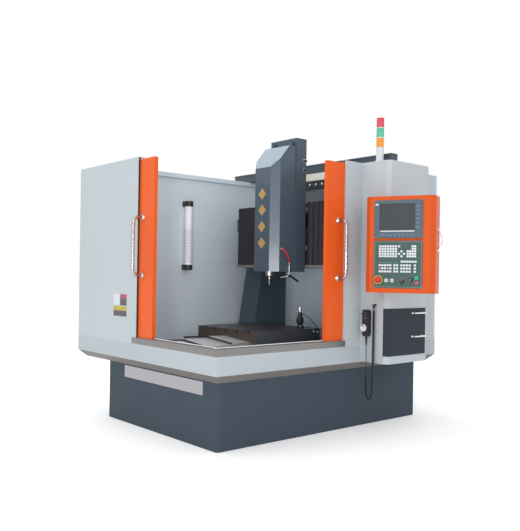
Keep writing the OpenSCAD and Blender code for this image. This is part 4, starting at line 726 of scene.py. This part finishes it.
def make_bellows():
    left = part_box("bellows_left")
    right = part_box("bellows_right")
    bellows_strip("bellows_left_cloth", "bellows_left", left[0].x, left[1].x, 12, 4)
    bellows_strip("bellows_right_cloth", "bellows_right", right[1].x, right[0].x, 4, 2)


# Fine parts of the control box, in the box's own frame and millimetres

PANEL_FACE = -174
MODULE_X = (87.5, 403.5)
KEYPAD_Z = (979, 1283)
DISPLAY_Z = (1300, 1545)
SCREEN_X = (128.5, 348.5)
SCREEN_Z = (1351, 1517)
KEY_U = 316 / 361
KEY = (15 * KEY_U, 12)
SOFT_KEY = (16, 12)
LAMP_SQUARE = 22
KEY_RISE = 2.5
LAMP_RISE = 5.1
CAP_EDGE = 0.3
# Each block of keys: its corner in the layout, how many across and down, and their pitch
KEY_BLOCKS = [((40, 30), (7, 5), (20, 16)), ((246, 62), (4, 3), (18, 16)), ((282, 30), (2, 2), (18, 16)),
              ((201, 62), (1, 1), (18, 16)), ((201, 94), (1, 1), (18, 16)), ((183, 78), (1, 1), (18, 16)),
              ((219, 78), (1, 1), (18, 16)), ((204, 128), (6, 1), (20, 16)), ((40, 152), (5, 3), (20, 20)),
              ((150, 152), (2, 3), (20, 20)), ((202, 152), (4, 3), (20, 20)), ((300, 152), (1, 3), (20, 20)),
              ((183, 30), (1, 1), (18, 16))]
# Block, column and row of the red ones
RED_KEYS = [(8, 0, 1), (8, 3, 1)]
MODULE_SCREW_INSET = 3.2
# The bright bars of the box's grip and the drawers' pulls
BAR_R = 5.3 * MM


def on_keypad(right, down):
    """A place on the key module, from its upper left corner as drawn in the layout."""
    return MODULE_X[0] + right * KEY_U, KEYPAD_Z[1] - down


def panel_blocks(name, blocks, bevel, *materials):
    """Rounded blocks on the control box's front: (x range, z range, rise) and a material number."""
    bm = bmesh.new()
    for x, z, rise, slot in blocks:
        rounded_box(bm, (x[0], PANEL_FACE - rise, z[0]), (x[1], PANEL_FACE, z[1]), bevel, slot, PANEL)
    finish_piece(name, bm, "control_box", *materials)


def panel_place(x, z, rise=0):
    """A place on the control box's front whose z axis points out of it."""
    return PANEL @ shift(x, PANEL_FACE - rise, z) @ spin(90, "X")


def cap(left, low, width, height, rise, slot=0):
    """The block that covers a key or lamp of the solid."""
    return ((left - CAP_EDGE, left + width + CAP_EDGE), (low - CAP_EDGE, low + height + CAP_EDGE),
            rise + CAP_EDGE, slot)


def make_keys():
    caps = []
    for number, (at, count, pitch) in enumerate(KEY_BLOCKS):
        for i in range(count[0]):
            for j in range(count[1]):
                left, top = on_keypad(at[0] + i * pitch[0], at[1] + j * pitch[1])
                caps.append(cap(left, top - KEY[1], *KEY, KEY_RISE, int((number, i, j) in RED_KEYS)))
    panel_blocks("key_caps", caps, 0.9, "key_pale", "key_red")
    pitch = (SCREEN_X[1] - SCREEN_X[0]) / 8
    places = [(SCREEN_X[0] + i * pitch + 6, DISPLAY_Z[0] + 14) for i in range(8)]
    places += [(MODULE_X[1] - 40, DISPLAY_Z[1] - 50 - i * 26) for i in range(6)]
    soft = [cap(left, low, *SOFT_KEY, KEY_RISE) for left, low in places]
    panel_blocks("soft_key_caps", soft, 0.9, "soft_key")


def make_panel_lines():
    """The printed frame of the key module, the scale round the override knob and the display's trim."""
    inset = 6
    x = (MODULE_X[0] + inset, MODULE_X[1] - inset)
    z = (KEYPAD_Z[0] + inset, KEYPAD_Z[1] - inset)
    line = 1.6
    thin = 0.3
    lines = [(x, (z[0], z[0] + line), thin, 0), (x, (z[1] - line, z[1]), thin, 0),
             ((x[0], x[0] + line), z, thin, 0), ((x[1] - line, x[1]), z, thin, 0)]
    left, top = on_keypad(40, 140)
    lines.append(((left, left + 128), (top - line, top), thin, 0))
    panel_blocks("keypad_lines", lines, 0.1, "line")
    trim = [(SCREEN_X, (SCREEN_Z[0] - 10, SCREEN_Z[0] - 3), 0.9, 0),
            ((MODULE_X[0] + 8, MODULE_X[0] + 26), (DISPLAY_Z[1] - 33, DISPLAY_Z[1] - 22), 0.8, 1)]
    edge = 5
    rise = 1.2
    for a, b in ((SCREEN_X[0] - edge, SCREEN_X[0]), (SCREEN_X[1], SCREEN_X[1] + edge)):
        trim.append(((a, b), (SCREEN_Z[0] - 2, SCREEN_Z[1] + edge), rise, 2))
    trim.append(((SCREEN_X[0] - edge, SCREEN_X[1] + edge), (SCREEN_Z[1], SCREEN_Z[1] + edge), rise, 2))
    panel_blocks("display_trim", trim, 0.25, "bolt", "white", "display_dark")
    knob = panel_place(*on_keypad(214, 262))
    bm = bmesh.new()
    for i in range(11):
        reach = 24 if i % 5 else 26
        rounded_box(bm, (-0.7, 20, 0), (0.7, reach, 0.35), 0.1, 0, knob @ spin(135 - 27 * i))
    finish_piece("override_scale", bm, "control_box", "key_pale")
    bm = bmesh.new()
    rounded_box(bm, (-0.9, 4, 20.5), (0.9, 14.4, 21.6), 0.3, 0, knob)
    finish_piece("override_pointer", bm, "override", "white")
    screws = []
    for low, high in (KEYPAD_Z, DISPLAY_Z):
        for sx in (MODULE_X[0] + MODULE_SCREW_INSET, MODULE_X[1] - MODULE_SCREW_INSET):
            for sz in (low + MODULE_SCREW_INSET, high - MODULE_SCREW_INSET):
                screws.append(PANEL @ mm(sx, PANEL_FACE, sz))
    screw_heads("module_screws", screws, FACE_OUT, 2.2, "control_box")


def make_buttons():
    bm = bmesh.new()
    turned(bm, [(22.6, 3.6), (28.4, 0), (28.4, 3.4), (27.6, 4.15), (22.6, 4.15)],
           panel_place(*on_keypad(37, 253)), closed=True)
    finish_piece("estop_ring", bm, "control_box", "yellow")
    for name, right, mat in (("start_button", 99, "pale_green"), ("hold_button", 142, "pink")):
        place = panel_place(*on_keypad(right, 256))
        bm = bmesh.new()
        turned(bm, [(8.6, 7), (12.6, 0), (12.6, 8.4), (11.8, 9.4), (8.6, 9.4)], place, closed=True)
        turned(bm, [(8.4, 6), (8.4, 9.4), (6.5, 10.6), (3, 11.2), (TIP, 11.3)], place, slot=1)
        finish_piece(name, bm, "control_box", "key_pale", mat)
    x, z = on_keypad(279, 251)
    bm = bmesh.new()
    turned(bm, [(12.5, 0), (12.5, 8.2), (11, 9.6), (7, 9.6), (6.6, 9), (TIP, 9)], panel_place(x, z))
    rounded_box(bm, (-1.2, -5, 8), (1.2, 5, 22), 0.5, 1, panel_place(x, z))
    turned(bm, [(4, -1.6), (9, -1.2), (9, 1.2), (4, 1.6)], panel_place(x, z, 27) @ spin(90, "Y"), slot=1,
           closed=True)
    finish_piece("key_switch", bm, "control_box", "black", "bolt")
    squares = []
    for number, down in enumerate((227, 258)):
        left, top = on_keypad(309, down)
        squares.append(cap(left, top - LAMP_SQUARE, LAMP_SQUARE * KEY_U, LAMP_SQUARE, LAMP_RISE, number))
    panel_blocks("lamp_squares", squares, 1.2, "green", "magenta")


def make_box_grip():
    """Bright tube over the box's grip, an arc in the box's own x and z."""
    bow = 89
    half_turn = 52
    steps = 24
    box_right = 480
    reach = 34
    centre = Vector((box_right + reach - bow, -95, 1289))
    points = []
    for i in range(steps + 1):
        angle = math.radians(-half_turn + 2 * half_turn * i / steps)
        points.append(PANEL @ ((centre + bow * Vector((math.cos(angle), 0, math.sin(angle)))) * MM))
    round_bar("box_grip", points, BAR_R, "control_box", "bright")


# Fine parts of the cabinet, its drawers, tower and pendant

PENDANT_FACE = 222.5
PENDANT_MIDDLE = 773


def make_pulls():
    """Bright bars over the drawers' pulls, on two posts each."""
    face_x = 942.3
    reach = 25
    for node in ("lower_drawer", "upper_drawer"):
        z = millimetres(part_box(node)[1])[2] - 34
        bar = [mm(face_x + reach, y, z) for y in (510.5, 640.5)]
        round_bar(node + "_pull", bar, BAR_R, node, "bright")
        bm = bmesh.new()
        for y in (520.5, 630.5):
            turned(bm, [(8, 0), (8, 2), (5, 3.2), (4.4, 4), (4.4, reach - 3)],
                   facing(mm(face_x, y, z), (1, 0, 0)), segments=20)
        finish_piece(node + "_posts", bm, node, "bright")


def make_drawer_gap_shade():
    """A dark strip of painted shade on the cabinet's face in the gap between the drawers, round its bevelled edge."""
    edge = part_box("control_cabinet")[1].x / MM
    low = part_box("lower_drawer")[1].z / MM + 0.3
    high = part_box("upper_drawer")[0].z / MM - 0.3
    bm = bmesh.new()
    rounded_box(bm, (edge - 0.3, 280, low), (edge + 2, 669, high), 0.2)
    rounded_box(bm, (-0.3, -18, low), (2, 19, high), 0.2, 0, shift(edge - 13.5, 265, 0) @ spin(-45))
    finish_piece("drawer_gap_shade", bm, "machine", "motor")


def make_tower():
    """Fluted lamp sections with pale rings between them."""
    low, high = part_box("tower_lenses")
    centre = (low + high) / 2
    pitch = (high.z - low.z) / 3
    rings = bmesh.new()
    for i, mat in enumerate(("lamp_amber", "lamp_green", "lamp_red")):
        place = Matrix.Translation((centre.x, centre.y, low.z + i * pitch))
        bm = bmesh.new()
        turned(bm, [(23, 0), (25.4, 3.5), (25.9, 5), (25.9, 63), (25, 66)], place, segments=120, flutes=24,
               flute_depth=1.1)
        finish_piece("tower_" + mat, bm, "machine", mat)
        turned(rings, [(24.5, -3), (26.2, -2), (26.2, 2.8), (25, 4)], place)
    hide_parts("tower_lenses")
    top = Matrix.Translation((centre.x, centre.y, high.z))
    turned(rings, [(25, -4), (26, -2.5), (25, 0), (20, 1.4), (TIP, 2)], top, slot=1)
    finish_piece("tower_rings", rings, "machine", "white", "lamp_red")


def make_pendant():
    """Its two selector knobs and their plate, with a lamp and a button below."""
    top = millimetres(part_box("pendant_body")[1])[2]
    knobs = bmesh.new()
    for x in (PENDANT_MIDDLE - 13, PENDANT_MIDDLE + 13):
        place = facing(mm(x, PENDANT_FACE, top - 28), (0, -1, 0))
        turned(knobs, [(10.4, 0), (10.4, 11), (9.2, 14.4), (TIP, 14.6)], place, segments=72, flutes=12,
               flute_depth=0.5)
        rounded_box(knobs, (-0.8, 2, 14), (0.8, 9, 15), 0.2, 1, place)
    finish_piece("pendant_knobs", knobs, "machine", "knob", "white")
    plate = []
    for slot, (x0, x1, z0, z1, rise) in enumerate(((-24, 24, -52, -12, 0.8), (-2.5, 2.5, -62, -57, 1.8),
                                                   (12, 17, -62, -57, 1.8))):
        plate.append(((PENDANT_MIDDLE + x0, PENDANT_FACE - rise, top + z0),
                      (PENDANT_MIDDLE + x1, PENDANT_FACE + 1, top + z1), slot))
    blocks_piece("pendant_plate", "machine", plate, 0.4, "knob", "white", "red")


def make_relief():
    """The ribbed strain relief where the lead leaves the pendant."""
    relief = bmesh.new()
    sleeve = [(3.2, 580), (4.6, 580.5)]
    for i in range(9):
        z = 583 + 6 * i
        radius = 4.6 + 0.33 * i
        sleeve += [(radius, z), (radius + 0.9, z + 0.5), (radius + 0.9, z + 3), (radius, z + 3.5)]
    sleeve += [(7.6, 640), (3.2, 640)]
    turned(relief, sleeve, shift(*LEAD_ROUTE[0][:2], 0), segments=24, closed=True)
    finish_piece("pendant_relief", relief, "machine", "rubber")


def make_gland():
    """The ribbed barrel and its holder at the cord's upper end."""
    gland = bmesh.new()
    place = shift(*CURL_ROUTE[-1])
    barrel = [(4, 0), (8.6, 0.5)]
    for i in range(5):
        barrel += [(8.6, 3 + 5 * i), (9.8, 4 + 5 * i), (9.8, 6 + 5 * i), (8.6, 7 + 5 * i)]
    turned(gland, barrel + [(8.6, 29), (TIP, 29)], place)
    turned(gland, [(8.8, 28.5), (8.8, 32), (6.5, 34), (TIP, 34)], place, slot=1)
    rounded_box(gland, (834, 234, 851), (846, 252.5, 866), 1.5)
    holder = finish_piece("gland_holder", gland, "machine", "rubber", "white")
    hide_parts("pendant_gland")


def make_dial():
    """The pendant's hand wheel with its crank knob and ticks."""
    dial = bmesh.new()
    place = facing(mm(762, PENDANT_FACE, 698), (0, -1, 0))
    turned(dial, [(4, -18), (4, 0.4), (23.4, 0.6), (25.6, 1.4), (25.6, 11), (22.6, 14.6), (15, 14.6),
                  (13, 12), (TIP, 12)], place, segments=120, flutes=40, flute_depth=0.35)
    turned(dial, [(4.6, 12), (4.6, 16), (4, 20), (2, 20.8), (TIP, 21)], place @ shift(0, 16, 0), slot=1,
           segments=24)
    for i in range(20):
        rounded_box(dial, (-0.4, 17, 14.4), (0.4, 21, 14.9), 0.1, 1, place @ spin(18 * i))
    wheel = finish_piece("dial_wheel", dial, "dial", "dial_white", "black")
    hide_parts("pendant_dial")


# Fine parts of the head, beam and tray


def make_head():
    """Four plain diamonds on the front and the fittings at the hose's two ends."""
    marks = bmesh.new()
    for z in (1625, 1511, 1393, 1276):
        rounded_box(marks, (-29, -1, -29), (29, 0.2, 29), 0.5, 0, shift(156, -192, z) @ spin(45, "Y"))
    finish_piece("head_marks", marks, "head", "mark")
    hose = bmesh.new()
    turned(hose, [(11, 0), (11, 5), (9, 6), (8.5, 11), (7.2, 12), (6.2, 12)],
           facing(mm(290, -125, 1235), (1, 0, 0)), segments=6)
    turned(hose, [(6.2, 0), (8.4, 0.5), (8.8, 4), (8.8, 13), (7, 15), (6.2, 15)], shift(*HOSE_ROUTE[-1]),
           segments=24)
    finish_piece("hose_fittings", hose, "head", "valve")


def make_carriage():
    """Two cable plugs with ribbed collars on the carriage's right side and the plate that closes its top."""
    bm = bmesh.new()
    for z, reach in ((1874, 20), (1812, 16)):
        place = facing(mm(296, 86, z), (1, 0, 0))
        turned(bm, [(11, -0.3), (11, 4), (9.4, 5), (9.4, reach - 3), (8, reach), (TIP, reach)], place,
               segments=36, flutes=12, flute_depth=0.6)
        rounded_box(bm, (-14, -14, -0.3), (14, 14, 2.5), 0.6, 1, place)
    finish_piece("carriage_plugs", bm, "carriage", "black", "bolt")
    front = 5
    cap_boxes = [((89.7, front + 0.2, 1928), (228.3, front + 3.2, 2031.2)),
                 ((96, front + 3, 1934), (222, front + 6, 1940))]
    blocks_piece("carriage_cap", "carriage", cap_boxes, 0.6, "slate")


def make_tray():
    """The chain band's bolts and links, and the seam under the tray's lid."""
    band_y = 370.5
    bolts = [mm(x, band_y, 1748) for x in range(-500, 590, 64)]
    screw_heads("chain_bolts", bolts, (0, -1, 0), 9, "machine")
    links = [((x, band_y - 1.2, z), (x + 18, band_y + 0.5, z + 14))
             for x in range(-520, 590, 22) for z in (1718, 1764)]
    blocks_piece("chain_links", "machine", links, 0.5, "black")
    low, high = (millimetres(c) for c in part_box("cable_tray"))
    seam = (high[2] - 14, high[2] - 11)
    lid = [((low[0] - 1, low[1] - 1, seam[0]), (high[0] + 1, low[1] + 0.3, seam[1])),
           ((high[0] - 1, low[1], seam[0]), (high[0] + 1, high[1], seam[1]))]
    blocks_piece("tray_lid_seam", "machine", lid, 0.4, "motor")


# Fine parts of the enclosure

PANEL_FRONT = -991.5
BASE_FRONT = -943.5
WALL_X = -697
# Plain colour fields on the front panel: x range, z range and material number
FIELDS = ((-516, -430, 822, 898, 0), (-422, -334, 822, 870, 1), (-422, -334, 870, 900, 2),
          (-514, -334, 745, 784, 1), (-514, -334, 784, 816, 3))
WALL_SCREWS = ((-78, 1583), (-99, 1120), (-90, 664), (-780, 1583), (-780, 1120))


def make_enclosure():
    """Plates, screws and seams of the sheet metal, a dark strip of painted shade in the gap beside the left door, and
    the ribs in the work light's tube.
    """
    plates = [((x0, PANEL_FRONT - 0.8, z0), (x1, PANEL_FRONT + 0.2, z1), slot)
              for x0, x1, z0, z1, slot in FIELDS]
    blocks_piece("panel_plates", "machine", plates, 0.3, "white", "plate_dark", "plate_red", "plate_ochre")
    plate = ((-425, BASE_FRONT - 2, 318), (508, BASE_FRONT + 0.5, 400))
    blocks_piece("base_plate", "machine", [plate], 0.8, "name_plate")
    rivets = [mm(x, BASE_FRONT - 2, z) for x in (-413, 41, 496) for z in (328, 390)]
    screw_heads("base_plate_rivets", rivets, (0, -1, 0), 3.5, "machine")
    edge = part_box("front_panel")[1].x / MM
    # Painted shade: a dark strip on the front panel's edge, where the gap by the left door lies in shadow
    blocks_piece("panel_gap_shade", "machine", [((edge - 0.3, -988, 575), (edge + 3, -978, 1832))], 0.8, "rubber")
    screw_heads("wall_screws", [mm(WALL_X, y, z) for y, z in WALL_SCREWS], (1, 0, 0), 5, "machine")
    seam = ((WALL_X - 0.3, -83, 1143), (WALL_X + 0.8, 1110, 1147))
    blocks_piece("wall_seam", "machine", [seam], 0.3, "inner_line")
    low, high = (millimetres(c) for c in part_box("work_light_lens"))
    ribs = bmesh.new()
    for i in range(22):
        place = shift((low[0] + high[0]) / 2, (low[1] + high[1]) / 2, low[2] + 60 + 12 * i)
        turned(ribs, [(28.2, 0), (30.1, 0.4), (30.1, 3.2), (28.2, 3.6)], place, segments=48)
    finish_piece("light_ribs", ribs, "machine", "rib")


def make_gaskets():
    """Rubber round the door panes, on the inside and in the opening."""
    for door, flat, inside_above in (("left", 1, True), ("right", 0, False)):
        low, high = (millimetres(c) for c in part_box(door + "_window"))
        boxes = rect_frame(*layer(low, high, flat, inside_above, 6), 20, flat)
        boxes += rect_frame(*layer(low, high, flat, not inside_above, 1.2, 10), 5, flat)
        blocks_piece(door + "_gasket", door + "_door", boxes, 0.4, "rubber")


# Fine parts of the table and its covers

ROOF_FALL = 26
COVER_STEP = 10


def roof_strip(name, node, body):
    """A wiper along the roof-shaped front edge of a cover, down to the plate below it."""
    low, high = (millimetres(c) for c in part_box(node))
    half = high[0]
    bm = bmesh.new()
    rings = []
    for y in (low[1] - 4, low[1]):
        ring = []
        for x, z in ((-half, high[2] - ROOF_FALL), (0, high[2]), (half, high[2] - ROOF_FALL)):
            ring.append([bm.verts.new(mm(x, y, end)) for end in (z + 0.4, z - COVER_STEP + 0.8)])
        rings.append(ring)
    for i in range(2):
        (a, b), (c, d) = rings[0][i], rings[0][i + 1]
        (e, f), (g, h) = rings[1][i], rings[1][i + 1]
        bm.faces.new((a, b, d, c))
        bm.faces.new((e, g, h, f))
        bm.faces.new((a, c, g, e))
        bm.faces.new((b, f, h, d))
    for i in (0, 2):
        (a, b), (e, f) = rings[0][i], rings[1][i]
        bm.faces.new((a, e, f, b))
    finish_piece(name, bm, body, "rubber")


def make_table():
    """Wipers on the covers, clips for the setter's lead, and the setter's screws and ribs."""
    roof_strip("mid_wiper", "front_cover_mid", "cover_mid")
    roof_strip("table_wiper", "front_cover_table", "table")
    side = 335
    clips = [((side - 0.3, 158, 640), (side + 3, 174, 652)), ((side - 0.3, 198, 634), (side + 7, 214, 644))]
    blocks_piece("lead_clips", "table", clips, 0.8, "white")
    bm = bmesh.new()
    foot = shift(232, 127, 664)
    for angle in (90, 210, 330):
        turned(bm, [(6, 0), (6, 4), (5, 6), (2.6, 6), (2.4, 3), (TIP, 3)],
               foot @ shift(26 * math.cos(math.radians(angle)), 26 * math.sin(math.radians(angle)), 12),
               segments=18)
    for i in range(5):
        z = 48 + 4.2 * i
        turned(bm, [(25.5, z), (27.7, z + 0.5), (27.7, z + 2.6), (25.5, z + 3)], foot, slot=1)
    finish_piece("setter_trim", bm, "table", "bolt", "black")


make_materials()
make_camera()
make_studio()
dress_nodes()
make_cords()
make_bellows()
make_keys()
make_panel_lines()
make_buttons()
make_box_grip()
make_pulls()
make_drawer_gap_shade()
make_tower()
make_pendant()
make_relief()
make_dial()
make_gland()
make_head()
make_carriage()
make_tray()
make_enclosure()
make_gaskets()
make_table()
